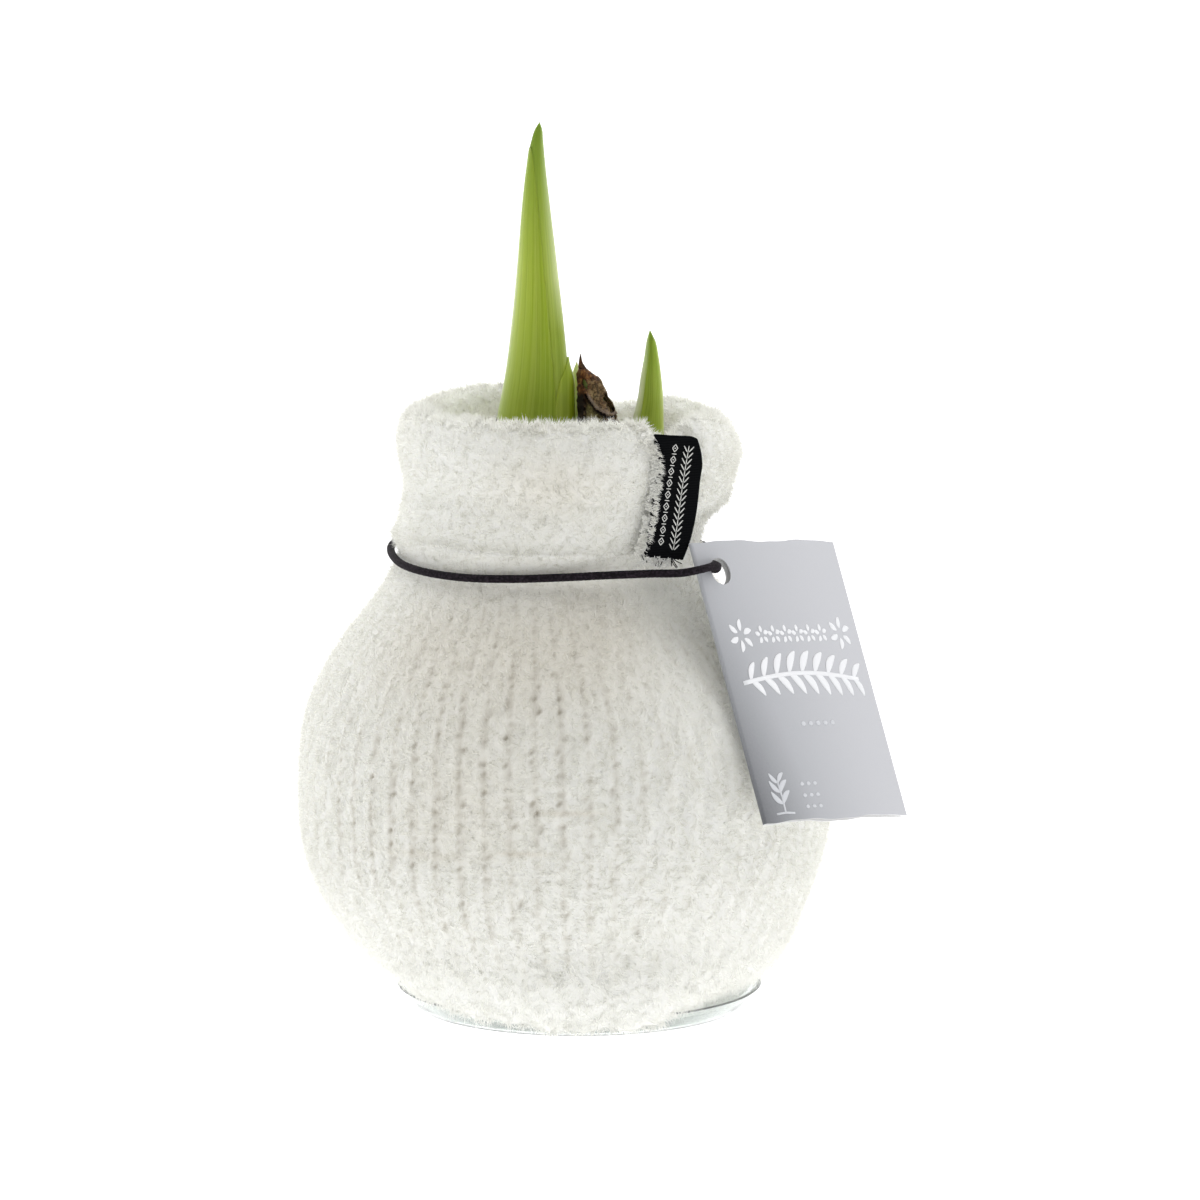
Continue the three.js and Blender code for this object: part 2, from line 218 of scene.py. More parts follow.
def roughened(bm, size, scale, seed=0.0):
    """Moves each point along its normal by an uneven amount, up to size."""
    bm.normal_update()
    moves = [(v, v.normal * size * noise.noise((v.co + Vector((seed, seed, seed))) * scale))
             for v in bm.verts]
    for vert, move in moves:
        vert.co += move
    return bm


def join_in(bm, other):
    """Adds other's faces, with their values, to bm."""
    bmesh.ops.recalc_face_normals(other, faces=other.faces)
    spare = bpy.data.meshes.new("spare")
    other.to_mesh(spare)
    other.free()
    bm.from_mesh(spare)
    bpy.data.meshes.remove(spare)
    return bm


def put_in(bm, place):
    """Moves a piece made flat to its place."""
    bmesh.ops.transform(bm, matrix=place, verts=bm.verts)
    return bm


# ---- Materials ----


class Finish:
    """A node material with the few nodes that the finishes here are made of."""

    def __init__(self, name, colour=(0.8, 0.8, 0.8, 1), **sockets):
        self.material = bpy.data.materials.new(name)
        self.material.use_nodes = True
        self.tree = self.material.node_tree
        self.shader = self.tree.nodes["Principled BSDF"]
        self.shader.inputs["Base Color"].default_value = colour
        for socket, value in sockets.items():
            self.shader.inputs[socket.replace("_", " ")].default_value = value
        self.place = self.add("ShaderNodeTexCoord").outputs["Object"]

    def add(self, kind, **settings):
        node = self.tree.nodes.new(kind)
        for key, value in settings.items():
            setattr(node, key, value)
        return node

    def join(self, source, target):
        self.tree.links.new(source, target)

    def attribute(self, name):
        """A value kept on the piece's own points."""
        return self.add("ShaderNodeAttribute", attribute_name=name).outputs["Fac"]

    def along(self, x, y, z):
        """A vector of three numbers or sockets."""
        node = self.add("ShaderNodeCombineXYZ")
        for socket, value in zip(node.inputs, (x, y, z)):
            self.put(value, socket)
        return node.outputs[0]

    def put(self, value, socket):
        """Gives a socket a number, a colour or another node's output."""
        if isinstance(value, bpy.types.NodeSocket):
            self.join(value, socket)
        else:
            socket.default_value = value

    def maths(self, operation, a, b, c=0.0, clamp=False):
        """A sum of numbers or sockets."""
        node = self.add("ShaderNodeMath", operation=operation, use_clamp=clamp)
        for socket, value in zip(node.inputs, (a, b, c)):
            self.put(value, socket)
        return node.outputs[0]

    def stretched(self, scale):
        """The place on the piece, scaled along each axis."""
        node = self.add("ShaderNodeMapping")
        node.inputs["Scale"].default_value = scale
        self.join(self.place, node.inputs["Vector"])
        return node.outputs[0]

    def noise(self, scale, detail=4.0, rough=0.55, vector=None, distortion=0.0):
        node = self.add("ShaderNodeTexNoise")
        node.inputs["Scale"].default_value = scale
        node.inputs["Detail"].default_value = detail
        node.inputs["Roughness"].default_value = rough
        node.inputs["Distortion"].default_value = distortion
        self.join(vector or self.place, node.inputs["Vector"])
        return node.outputs["Fac"]

    def cells(self, scale):
        node = self.add("ShaderNodeTexVoronoi", feature="F1")
        node.inputs["Scale"].default_value = scale
        self.join(self.place, node.inputs["Vector"])
        return node.outputs["Distance"]

    def ramp(self, factor, stops):
        """stops are (place, colour or grey)."""
        node = self.add("ShaderNodeValToRGB")
        entries = node.color_ramp.elements
        while len(entries) < len(stops):
            entries.new(0.5)
        for entry, (place, colour) in zip(entries, stops):
            entry.position = place
            grey = not hasattr(colour, "__len__")
            entry.color = (colour, colour, colour, 1) if grey else colour
        self.put(factor, node.inputs["Fac"])
        return node.outputs["Color"]

    def mix(self, factor, one, two, way="MIX"):
        """The second colour over the first, by a factor."""
        node = self.add("ShaderNodeMix", data_type="RGBA", blend_type=way)
        for socket, value in zip((node.inputs[0], node.inputs[6], node.inputs[7]),
                                 (factor, one, two)):
            self.put(value, socket)
        return node.outputs[2]

    def bump(self, height, distance, strength):
        """Small relief from a grey socket; distance is its depth in metres."""
        node = self.add("ShaderNodeBump")
        node.inputs["Strength"].default_value = strength
        node.inputs["Distance"].default_value = distance
        self.join(height, node.inputs["Height"])
        self.join(node.outputs["Normal"], self.shader.inputs["Normal"])

    def colour(self, socket):
        """Gives the shader its colour."""
        self.join(socket, self.shader.inputs["Base Color"])

    def soften(self, weight, depth, reach=(1.0, 1.0, 0.94)):
        """Lets light soak in by a depth in metres, as it does in fluffy yarn or a leaf."""
        self.shader.inputs["Subsurface Weight"].default_value = weight
        self.shader.inputs["Subsurface Radius"].default_value = reach
        self.shader.inputs["Subsurface Scale"].default_value = depth


# ---- Camera, floor and light ----


def set_camera():
    """The camera, in front of the piece and looking a little down."""
    data = bpy.data.cameras.new("camera")
    data.lens = CAMERA_LENS
    data.sensor_width = SENSOR
    data.clip_start = 0.05
    data.clip_end = 100
    camera = bpy.data.objects.new("camera", data)
    camera.location = [x * MM for x in CAMERA_PLACE]
    camera.rotation_euler = (math.radians(90 - CAMERA_PITCH), 0, 0)
    bpy.context.scene.collection.objects.link(camera)
    bpy.context.scene.camera = camera


def white_floor():
    """A wide floor that glows a little, so that it fades into the white behind it."""
    finish = Finish("studio floor", (0.12, 0.12, 0.12, 1), Roughness=0.9, Specular_IOR_Level=0.1)
    finish.shader.inputs["Emission Color"].default_value = (1, 1, 1, 1)
    finish.shader.inputs["Emission Strength"].default_value = FLOOR_GLOW
    bm = bmesh.new()
    bmesh.ops.create_grid(bm, x_segments=1, y_segments=1, size=FLOOR_HALF_WIDTH)
    mesh = bpy.data.meshes.new("studio_floor")
    bm.to_mesh(mesh)
    bm.free()
    mesh.materials.append(finish.material)
    floor = bpy.data.objects.new("studio_floor", mesh)
    bpy.context.scene.collection.objects.link(floor)


def white_room():
    """A plain white surround, brighter behind the object and overhead than in front of it."""
    world = bpy.data.worlds.new("studio")
    bpy.context.scene.world = world
    world.use_nodes = True
    tree = world.node_tree
    backing = tree.nodes["Background"]
    direction = tree.nodes.new("ShaderNodeTexCoord")
    split = tree.nodes.new("ShaderNodeSeparateXYZ")
    level = tree.nodes.new("ShaderNodeMapRange")
    level.inputs["From Min"].default_value = SKY_SIDES[0]
    level.inputs["From Max"].default_value = SKY_SIDES[1]
    level.inputs["To Min"].default_value = SKY_FRONT
    level.inputs["To Max"].default_value = SKY_BACK
    level.interpolation_type = "SMOOTHSTEP"
    tree.links.new(direction.outputs["Generated"], split.inputs[0])
    tree.links.new(split.outputs["Y"], level.inputs["Value"])
    above = tree.nodes.new("ShaderNodeMapRange")
    above.inputs["From Min"].default_value = SKY_LIFT
    above.inputs["From Max"].default_value = 1.0
    above.inputs["To Max"].default_value = SKY_ABOVE
    above.interpolation_type = "SMOOTHSTEP"
    total = tree.nodes.new("ShaderNodeMath")
    total.operation = "ADD"
    tree.links.new(split.outputs["Z"], above.inputs["Value"])
    tree.links.new(level.outputs[0], total.inputs[0])
    tree.links.new(above.outputs[0], total.inputs[1])
    tree.links.new(total.outputs[0], backing.inputs["Strength"])
    backing.inputs["Color"].default_value = (1, 1, 1, 1)


def set_studio():
    """Floor and light, with colours kept as plain sRGB."""
    white_floor()
    white_room()
    bpy.context.scene.view_settings.view_transform = "Standard"
    bpy.context.scene.view_settings.look = "None"


# ---- The knitted cover's surface ----

COVER_OUTLINE = np.array(COVER_FOOT + COVER_BELLY + COVER_CUFF + COVER_LINING, float)
COVER_RUN = np.concatenate(
    [[0], np.cumsum(np.linalg.norm(np.diff(COVER_OUTLINE, axis=0), axis=1))])
HEM_ROW = len(COVER_FOOT) + len(COVER_BELLY)
CREST_ROW = HEM_ROW + 6
LINING_ROW = HEM_ROW + len(COVER_CUFF)
HEM_RUN = COVER_RUN[HEM_ROW]
CREST_RUN = COVER_RUN[CREST_ROW]
LINING_RUN = COVER_RUN[LINING_ROW]
BELLY_RUN = COVER_RUN[len(COVER_FOOT) - 1]
PILE_RUN = COVER_RUN[len(COVER_FOOT) - 2] - 1
RIBS_FADE = (COVER_RUN[len(COVER_FOOT) + 5], COVER_RUN[len(COVER_FOOT) + 9])

# How far the cuff's hem lifts at the right and tucks in at the back left, how far the neck under it
# fills out in front, and where the hem lies flush with the neck: centres and widths in degrees.
HEM_LIFT = {"height": 7.2, "centre": 5, "width": 88}
HEM_TUCK = {"depth": 1.7, "centre": 215, "width": 105}
NECK_FILL = {"depth": 1.3, "centre": -90, "width": 115}
FLUSH = {"radius": 32.6, "centre": -100, "full": 60, "none": 92}
RIM_RISE = [  # [degrees round, how much higher the cuff's rim is there]
    [-180, -0.4], [-160, 0], [-10, 0], [5, -0.5], [18, -0.9], [31, -0.6], [43, -0.3], [55, -1.2],
    [68, -2.1], [80, -1.3], [96, 0.2], [112, 1.0], [128, 1.3], [142, 0.9], [156, 0.2], [168, -0.4],
    [180, -0.4],
]
RIM_DIP = {"depth": 3.2, "from": [-58.5, -54.5], "to": [-44, -32]}
RIM_HEIGHTS = (106, 117)
SAG_ROUND = [  # [degrees round, how far the foot sags over the dish's rim there]
    [-180, 0], [-158, 0], [-146, 0.3], [-130, 0.62], [-114, 0.84], [-100, 0.97], [-84, 1],
    [-68, 0.92], [-55, 0.55], [-42, 0.15], [-28, 0], [50, 0], [82, 0.5], [112, 0.6], [142, 0], [180, 0],
]
SAG_SHAPE = [  # [run up the cover, out, up]
    [35.6, 0, 0], [37, 1.2, 0.1], [38, 1.3, -1.5], [39, 1.0, -4.2], [40, 0.8, -5.8], [41, 0.9, -5.3],
    [42, 1.3, -4.5], [43, 1.7, -3.7], [44.6, 2.0, -2.5], [46.5, 1.9, -1.4], [48.5, 1.5, -0.6],
    [51, 0.8, -0.1], [54, 0.2, 0], [56, 0, 0],
]

COURSES = 80
cover_random = np.random.default_rng(11)
HOLE_CHANCE = cover_random.random((WALES, COURSES))
HOLE_SHIFT = cover_random.normal(0, 0.17, (WALES, COURSES))
WALE_SHIFT = cover_random.random(WALES)
SOFT_WAVES = [
    (int(cover_random.integers(2, 7)), cover_random.uniform(0.05, 0.16),
     cover_random.uniform(0, FULL_TURN), cover_random.uniform(0, FULL_TURN))
    for _ in range(9)
]
PATCH_WAVES = [
    (int(cover_random.integers(3, 11)), cover_random.uniform(0.06, 0.3),
     cover_random.uniform(0, FULL_TURN), cover_random.uniform(0, FULL_TURN))
    for _ in range(10)
]


def waves(table, turn, run):
    """A smooth uneven field from -1 to 1 over the cover, from its own table of waves."""
    total = 0
    for around, up, one, two in table:
        total = total + np.sin(around * turn + one) * np.cos(up * run + two)
    return total / math.sqrt(len(table))


OPEN_PATCHES = [  # [degrees round, run up the cover, degrees wide, run long, strength]
    [-113, 86, 27, 24, 1.0], [-94, 58, 25, 13, 0.62], [-138, 84, 16, 18, 0.5], [-84, 92, 16, 13, 0.45],
    [-98, 106, 15, 12, 0.45], [-100, 118, 40, 13, 0.34],
]
SHOW_THROUGH = [  # [degrees round, height, degrees wide, run long, strength]
    [-96, 77, 32, 13, 0.4], [-70, 82, 16, 9, 0.2], [-132, 77, 18, 12, 0.2], [-112, 50, 18, 14, 0.22],
    [-96, 108, 22, 7, 0.3], [-122, 38.4, 12, 0.6, 0.3], [-99, 39.7, 5.5, 0.5, 0.42],
    [-88.5, 47.9, 6.5, 0.5, 0.42],
]
OPEN_EVERYWHERE = 0.15
HOLE_WIDTH, HOLE_HEIGHT, HOLE_DEPTH = 0.125, 0.27, 0.72
GROOVE_WIDTH, GROOVE_SHARE = 0.15, 0.36


def in_patches(table, turn, up):
    """The sum of a table's soft patches at each turn and place up the cover."""
    total = 0
    for centre, middle, wide, long, strength in table:
        away = angle_from(centre, turn) / math.radians(wide)
        total = total + strength * np.exp(-away ** 2 - ((up - middle) / long) ** 2)
    return total


def openness(turn, run):
    """Where the knit is stretched open: in named patches in front and in uneven ones all round."""
    uneven = OPEN_EVERYWHERE + 0.28 * waves(PATCH_WAVES, turn, run)
    patch = np.clip(uneven + in_patches(OPEN_PATCHES, turn, run), 0.05, 1.2)
    return patch * (0.7 + 0.3 * smoothstep(52, 72, run))


def warmth(turn, height):
    """How much the brown bulb tints the knit where it is stretched thin."""
    return np.clip(in_patches(SHOW_THROUGH, turn, height), 0, 1)


def ladder(turn, run):
    """How open the knit is between two wales, 0 to 1, how far the nearest valley is, in wales, and
    how much of the belly's rib shows there."""
    wale = turn / FULL_TURN * WALES + 0.05 * np.sin(0.11 * run + 5 * turn)
    valley = np.rint(wale).astype(int)
    across = wale - valley
    valley = valley % WALES
    course = run / COURSE + WALE_SHIFT[valley] * 0.3
    row = np.rint(course).astype(int)
    along = course - row
    row = np.clip(row, 0, COURSES - 1)
    chance = HOLE_CHANCE[valley, row]
    share = np.clip(openness(turn, run) * (0.32 + 0.72 * chance), 0, 1)
    along = along - HOLE_SHIFT[valley, row]
    beside = across - 0.4 * HOLE_SHIFT[valley - 1, row]
    hole = np.exp(-((beside / HOLE_WIDTH) ** 2) - (along / HOLE_HEIGHT) ** 2)
    belly = smoothstep(8, 20, run - BELLY_RUN) * (1 - smoothstep(-14, -7, run - HEM_RUN))
    groove = GROOVE_SHARE * np.exp(-((across / GROOVE_WIDTH) ** 2))
    return np.maximum(hole, groove) * share * belly, across, belly


def cover_outline(run):
    """Radius and height at each run, and the outward direction in that section."""
    outline = smooth(COVER_RUN, COVER_OUTLINE, run)
    ahead = smooth(COVER_RUN, COVER_OUTLINE, run + 0.05) - smooth(
        COVER_RUN, COVER_OUTLINE, run - 0.05)
    ahead = ahead / np.maximum(np.linalg.norm(ahead, axis=-1, keepdims=True), 1e-9)
    return outline[..., 0], outline[..., 1], ahead[..., 1], -ahead[..., 0]


def sag(turn, run):
    """How far the foot's soft edge moves out and up where it hangs over the dish's rim."""
    around, shape = np.array(SAG_ROUND), np.array(SAG_SHAPE)
    turn = angle_from(0, turn)
    share = np.clip(smooth(around[:, 0], around[:, 1], np.degrees(turn)), 0, 1)
    share = share * (0.92 + 0.13 * np.sin(23 * turn) * np.cos(9 * turn))
    out = np.interp(run, shape[:, 0], shape[:, 1])
    up = np.interp(run, shape[:, 0], shape[:, 2])
    return share * out, share * up


def in_front(turn):
    """1 where the cuff's hem lies flush with the neck, in front, 0 where it hangs free."""
    away = np.abs(angle_from(FLUSH["centre"], turn))
    return 1 - smoothstep(math.radians(FLUSH["full"]), math.radians(FLUSH["none"]), away)


def hem_fitted(turn, run, radius, height):
    """Lifts and tucks in the cuff's hem, fills out the neck under it and sags the foot."""
    near_hem = smoothstep(HEM_RUN - 9, HEM_RUN - 1, run) * (
        1 - smoothstep(HEM_RUN + 3, HEM_RUN + 21, run))
    lift = HEM_LIFT["height"] * bump_at(turn, HEM_LIFT["centre"], HEM_LIFT["width"])
    height = height + lift * near_hem
    neck = smoothstep(HEM_RUN - 9, HEM_RUN - 5, run) * smoothstep(HEM_RUN + 0.2, HEM_RUN - 1.2, run)
    filled = bump_at(turn, NECK_FILL["centre"], NECK_FILL["width"])
    radius = radius + NECK_FILL["depth"] * neck * filled
    sagged = sag(turn, run)
    radius, height = radius + sagged[0], height + sagged[1]
    tuck = HEM_TUCK["depth"] * bump_at(turn, HEM_TUCK["centre"], HEM_TUCK["width"])
    radius = radius - tuck * near_hem * smoothstep(HEM_RUN - 2, HEM_RUN + 1, run)
    flush = smoothstep(HEM_RUN - 4.6, HEM_RUN - 2.2, run) * in_front(turn)
    flush = flush * (1 - smoothstep(HEM_RUN + 4, HEM_RUN + 8, run))
    radius = radius + flush * np.maximum(FLUSH["radius"] - tuck - radius, 0)
    return radius, height


def knit_relief(turn, run, outside):
    """How far the wales stand out and the stitch holes sink in."""
    hole, across, belly = ladder(turn, run)
    ribbed = belly * (1 - 0.85 * smoothstep(*RIBS_FADE, run))
    rib = (0.3 * np.cos(FULL_TURN * across) - 0.2) * (0.1 + 0.9 * ribbed) * outside
    fabric = (rib - HOLE_DEPTH * hole) * smoothstep(20, 34, run)
    return fabric * (1 - smoothstep(LINING_RUN - 2, LINING_RUN + 4, run))


def leaning(turn, radius, height):
    """Points at each turn, radius and height, with the cover's lean, tilted crest and uneven rim."""
    lean = smooth([r[0] for r in COVER_LEAN], [r[1] for r in COVER_LEAN], height)
    x, y = radius * np.cos(turn), radius * np.sin(turn)
    share = smoothstep(CREST_TILT["start"], CREST_TILT["full"], height)
    around = np.arctan2(x, -y) - math.radians(CREST_TILT["azimuth"])
    z = height + share * (CREST_TILT["rise"] * np.cos(around) - CREST_TILT["droop"])
    degrees = np.degrees(angle_from(0, turn))
    dip = smoothstep(*RIM_DIP["from"], degrees) * (1 - smoothstep(*RIM_DIP["to"], degrees))
    rise = np.array(RIM_RISE)
    uneven = smooth(rise[:, 0], rise[:, 1], degrees) - RIM_DIP["depth"] * dip
    return np.stack([x + lean, y, z + uneven * smoothstep(*RIM_HEIGHTS, height)], -1)


def cover_surface(turn, run, knitted=True):
    """Points of the cover's surface, in millimetres, with the knit's relief or without it."""
    radius, height, out, up = cover_outline(run)
    radius, height = hem_fitted(turn, run, radius, height)
    outside = 1 - smoothstep(CREST_RUN - 3, CREST_RUN + 3, run)
    softness = 0.45 * waves(SOFT_WAVES, turn, run) * smoothstep(10, 45, run)
    fabric = knit_relief(turn, run, outside) if knitted else 0
    lined = 1 - smoothstep(LINING_RUN - 4, LINING_RUN + 2, run)
    depth = fabric + softness * lined * outside - 0.35 * lined
    return leaning(turn, radius + out * depth, height + up * depth)


def unit(vectors):
    """Each vector at a length of 1."""
    return vectors / np.maximum(np.linalg.norm(vectors, axis=-1, keepdims=True), 1e-9)


def cover_frame(turn, run):
    """Point, outward normal, direction round and direction up the knit at each place."""
    step = 0.2
    point = cover_surface(turn, run)
    flat = cover_surface(turn, run, False)
    radius = np.maximum(np.hypot(flat[..., 0], flat[..., 1]), 5)
    around = unit(cover_surface(turn + step / radius, run, False) - flat)
    upward = unit(cover_surface(turn, run + step, False) - flat)
    return point, unit(np.cross(around, upward)), around, upward


KNIT_SIDES = WALES * 6
OUTER_STEP, LINING_STEP = 0.9, 9.0
FOOT_RUNS = [0, 9, 18, 24]


def cover_rows():
    """The runs of the knit's rows: close on the outside, far apart in the lining."""
    outer = np.arange(28, LINING_RUN + 4, OUTER_STEP)
    lining = np.arange(LINING_RUN + 8, COVER_RUN[-1] - 4, LINING_STEP)
    return np.concatenate([FOOT_RUNS, outer, lining, [COVER_RUN[-1]]])


def knitted_cover(yarn):
    """The knit itself: a closed bag, spun as a straight tube of rows and drawn on to its shape."""
    rows = cover_rows()
    bm = spun([[1, run] for run in rows], KNIT_SIDES)
    places = np.array([v.co for v in bm.verts])
    turn, run = np.arctan2(places[:, 1], places[:, 0]), places[:, 2]
    points = cover_surface(turn, run)
    hole = ladder(turn, run)[0]
    # Painted shade: how far each point sinks into a stitch hole or groove, which darkens the knit's
    # colour there.
    depth = bm.verts.layers.float.new("hole_shade")
    for vert, point, value in zip(bm.verts, points, hole):
        vert.co = point
        vert[depth] = value
    warm = bm.verts.layers.float.new("warm")
    for vert, value in zip(bm.verts, warmth(turn, points[:, 2])):
        vert[warm] = value
    return finished("cover_knit", as_mesh(bm), yarn, ["knit_cover"])


# ---- The cover's pile ----


def route_points(route, step):
    """Points about step apart along a smooth closed route, which laps its ends by three points."""
    route = np.array(route[-3:] + route + route[:3], float)
    run = np.concatenate([[0], np.cumsum(np.linalg.norm(np.diff(route, axis=0), axis=1))])
    start, end = run[3], run[-3]
    count = int(round((end - start) / step))
    return smooth(run, route, np.linspace(start, end, count, endpoint=False))


def faced(corner, yaw, tilt, roll):
    """Origin and axes of a flat piece: along it, up it and out of its face."""
    turn = (Matrix.Rotation(math.radians(yaw), 4, "Z")
            @ Matrix.Rotation(math.radians(90 - tilt), 4, "X")
            @ Matrix.Rotation(math.radians(-roll), 4, "Z"))
    return Matrix.Translation(Vector(corner)) @ turn


TAG_PLACE = faced((27.3, -25, 90.4), 50, 24.3, 5.9)
TAG = {"width": 42.8, "height": 56.8, "from_fold": 6.4, "from_top": 6.1, "fold": 1.3,
       "mouth": 2.0, "bow": 0.5, "hole": 2.7, "thick": 0.34}
LABEL_PLACE = faced((15.9, -29.8, 117.4), 26.7, -3.4, 8)
LABEL = {"length": 23.5, "gap": 0.62, "cloth": 0.3, "corner": 1.8,
         "flat": (0.021, 0.0238)}
CORD_ROUTE = [
    [-6.6, 32.2, 91.3], [-14, 31, 91.4], [-22, 27.8, 91.6], [-29.4, 22, 91.7],
    [-35, 13.4, 91.8], [-37.2, 4, 91.6], [-36.6, -5.8, 90.8], [-33.6, -15.6, 90.1],
    [-28, -23.2, 89.7], [-20.6, -28.5, 89.6], [-12, -31.6, 89.9], [-3, -32.4, 90.3],
    [6, -32.2, 90.7], [14, -32.1, 91], [20.6, -32.6, 91.3], [22.7, -31.9, 91.6],
    [24.6, -30.1, 91.8], [25.9, -28.2, 91.8], [26.4, -26.4, 91.5], [26.3, -24.5, 91],
    [25.9, -22.2, 90.5], [26.1, -18, 90.3], [26.8, -11, 90.4], [26.9, -3, 90.6],
    [25.1, 7, 91], [20.4, 17.6, 91.1], [12.8, 26.2, 91.2], [4, 31.4, 91.2], [-3.4, 32.5, 91.2],
]
CORD_RADIUS = 0.84
CORD_HEIGHT, CORD_REACH = 91, 3.2
HOLE_STOP = 18
DISH_EDGE = 36.4
DISH_TOP, DISH_FLOOR = 4.7, 1.15
DISH_WALL = [[1, 32.3], [3.9, 34.4], [4.6, 34.9]]
TIP_CLEARANCE = 9
TAG_ROOM = 0.8
LABEL_RIGHT = 10.8


def clear_of_card(points):
    """True where a point is neither in the card or the label nor just in front of one."""
    clear = np.ones(len(points), bool)
    tag_box = (-TAG["from_fold"] - TAG_ROOM, TAG["width"] - TAG["from_fold"] + TAG_ROOM,
               TAG["from_top"] - TAG["height"] - TAG_ROOM, TAG["from_top"] + TAG_ROOM,
               -TAG["mouth"] - 0.15)
    label_box = (0.45, LABEL_RIGHT, -LABEL["length"] + 0.4, 1.2, -0.2)
    for place, box in ((TAG_PLACE, tag_box), (LABEL_PLACE, label_box)):
        x, y, z = (np.c_[points, np.ones(len(points))] @ np.array(place.inverted()).T)[:, :3].T
        left, right, low, high, back = box
        if place is LABEL_PLACE:
            left = left + label_left(y) + label_lap(y)
        inside = (x > left) & (x < right) & (y > low) & (y < high)
        clear &= ~(inside & (z > back) & (z < TIP_CLEARANCE))
    return clear


def clear_of_cord(points):
    """True where a point isn't in the elastic cord."""
    clear = np.ones(len(points), bool)
    near = np.abs(points[:, 2] - CORD_HEIGHT) < CORD_REACH
    route = route_points(CORD_ROUTE, 1.0)
    close = points[near]
    least = np.full(len(close), np.inf)
    for stop in route:
        least = np.minimum(least, np.linalg.norm(close - stop, axis=1))
    clear[near] = least > CORD_RADIUS + 0.12
    return clear


def clear_of_dish(points):
    """True where a point isn't in the dish's wall or under its rim."""
    radius = np.hypot(points[:, 0], points[:, 1])
    heights, radii = np.array(DISH_WALL).T
    wall = smooth(heights, radii, np.clip(points[:, 2], heights[0], heights[-1]))
    inside = (radius < wall) & (points[:, 2] > DISH_FLOOR)
    outside = (radius > DISH_EDGE + 0.25) & (points[:, 2] > 0.35)
    return (points[:, 2] > DISH_TOP) | inside | outside


# Painted light: where the strands are lightened against the shade beside the tag, as [degrees round,
# height, degrees wide, run long, strength].
TAG_SHADE_LIFT = [[-52, 72, 20, 16, 0.9]]


def brightened(turn, height):
    """How uneven the strands' tone is: evened out to plain white, as painted light, at the foot, lit by
    the floor's glow, and beside the tag, against its shade.
    """
    return smoothstep(6, 40, height) * (1 - in_patches(TAG_SHADE_LIFT, turn, height))


def deepest_hole(turn, run, offset, round_by, up_by):
    """How far into a stitch hole each strand reaches, at its root, its middle or near its tip."""
    radius = np.maximum(cover_outline(run)[0], 5)
    shade = np.zeros(len(turn))
    for share in (0.0, 0.5, 0.9):
        beside = offset[:, 0] + share * round_by
        above = offset[:, 1] + share * up_by
        shade = np.maximum(shade, ladder(turn + beside / radius, run + above)[0])
    return shade


def strands(rng, turn, run, number, length, lean, splay, spread, drift=(0, 0)):
    """Tufts of straight strands rooted at each place: their roots, directions, lengths and how far
    each lies in the knit's holes, how toned it is and how warm."""
    point, normal, around, upward = cover_frame(turn, run)
    _, across, belly = ladder(turn, run)
    count = len(turn)
    heading = rng.uniform(0, FULL_TURN, count)
    tip = np.abs(rng.normal(lean, 0.2, count))
    sideways = np.cos(heading) * np.sin(tip) + drift[0] + belly * across
    along = np.sin(heading) * np.sin(tip) + drift[1]
    heart = unit(normal * np.cos(tip)[:, None] + around * sideways[:, None]
                 + upward * along[:, None])
    point, heart, normal, around, upward = (
        np.repeat(a, number, axis=0) for a in (point, heart, normal, around, upward))
    total = count * number
    offset = rng.normal(0, spread, (total, 2))
    root = point + around * offset[:, :1] + upward * offset[:, 1:]
    way = unit(heart + rng.normal(0, splay, (total, 3)))
    into = (way * normal).sum(1)
    way = unit(way + normal * np.maximum(0.12 - into, 0)[:, None])
    tuft_length = np.repeat(rng.normal(1, 0.16, count), number)
    lengths = length * tuft_length * rng.uniform(0.7, 1.15, total)
    turn, run = np.repeat(turn, number), np.repeat(run, number)
    round_by, up_by = lengths * (way * around).sum(1), lengths * (way * upward).sum(1)
    shade = deepest_hole(turn, run, offset, round_by, up_by)
    keep = shade <= HOLE_CLEAR * rng.uniform(0.6, 1.5, total)
    tone = TUFT_TONE * np.repeat(rng.random(count), number) + (1 - TUFT_TONE) * rng.random(total)
    tone = tone * brightened(turn, root[:, 2])
    # Painted light: inside the cuff the tone is evened out to plain white, against the shade in the
    # cuff's mouth.
    tone = tone * (1 - 0.8 * smoothstep(CREST_RUN - 5, CREST_RUN + 1, run))
    warm = warmth(turn, root[:, 2])
    return [a[keep] for a in (root - way * 0.25, way, lengths, shade, tone, warm)]


EVEN_STEPS = (0.7548776662, 0.5698402910)


def even_places(rng, count, low, high):
    """Places spread evenly, without rows, over the cover's area between two runs."""
    runs = np.linspace(low, high, 400)
    radius = np.maximum(cover_outline(runs)[0], 1)
    share = np.cumsum(radius)
    number = np.arange(count)
    around = (number * EVEN_STEPS[0] + rng.random()) % 1
    along = (number * EVEN_STEPS[1] + rng.random()) % 1
    run = np.interp(along * share[-1], share, runs)
    return around * FULL_TURN - math.pi, run


def one_spike():
    """Points and faces of a closed three-sided spike, 1 high and 1 in radius at its root."""
    bm = bmesh.new()
    bmesh.ops.create_cone(bm, segments=3, radius1=1, radius2=0, depth=1, cap_ends=True,
                          matrix=Matrix.Translation((0, 0, 0.5)))
    bmesh.ops.triangulate(bm, faces=bm.faces)
    bmesh.ops.remove_doubles(bm, verts=bm.verts, dist=1e-5)
    bm.verts.index_update()
    points = np.array([v.co for v in bm.verts])
    faces = np.array([[v.index for v in f.verts] for f in bm.faces])
    bm.free()
    return points, faces


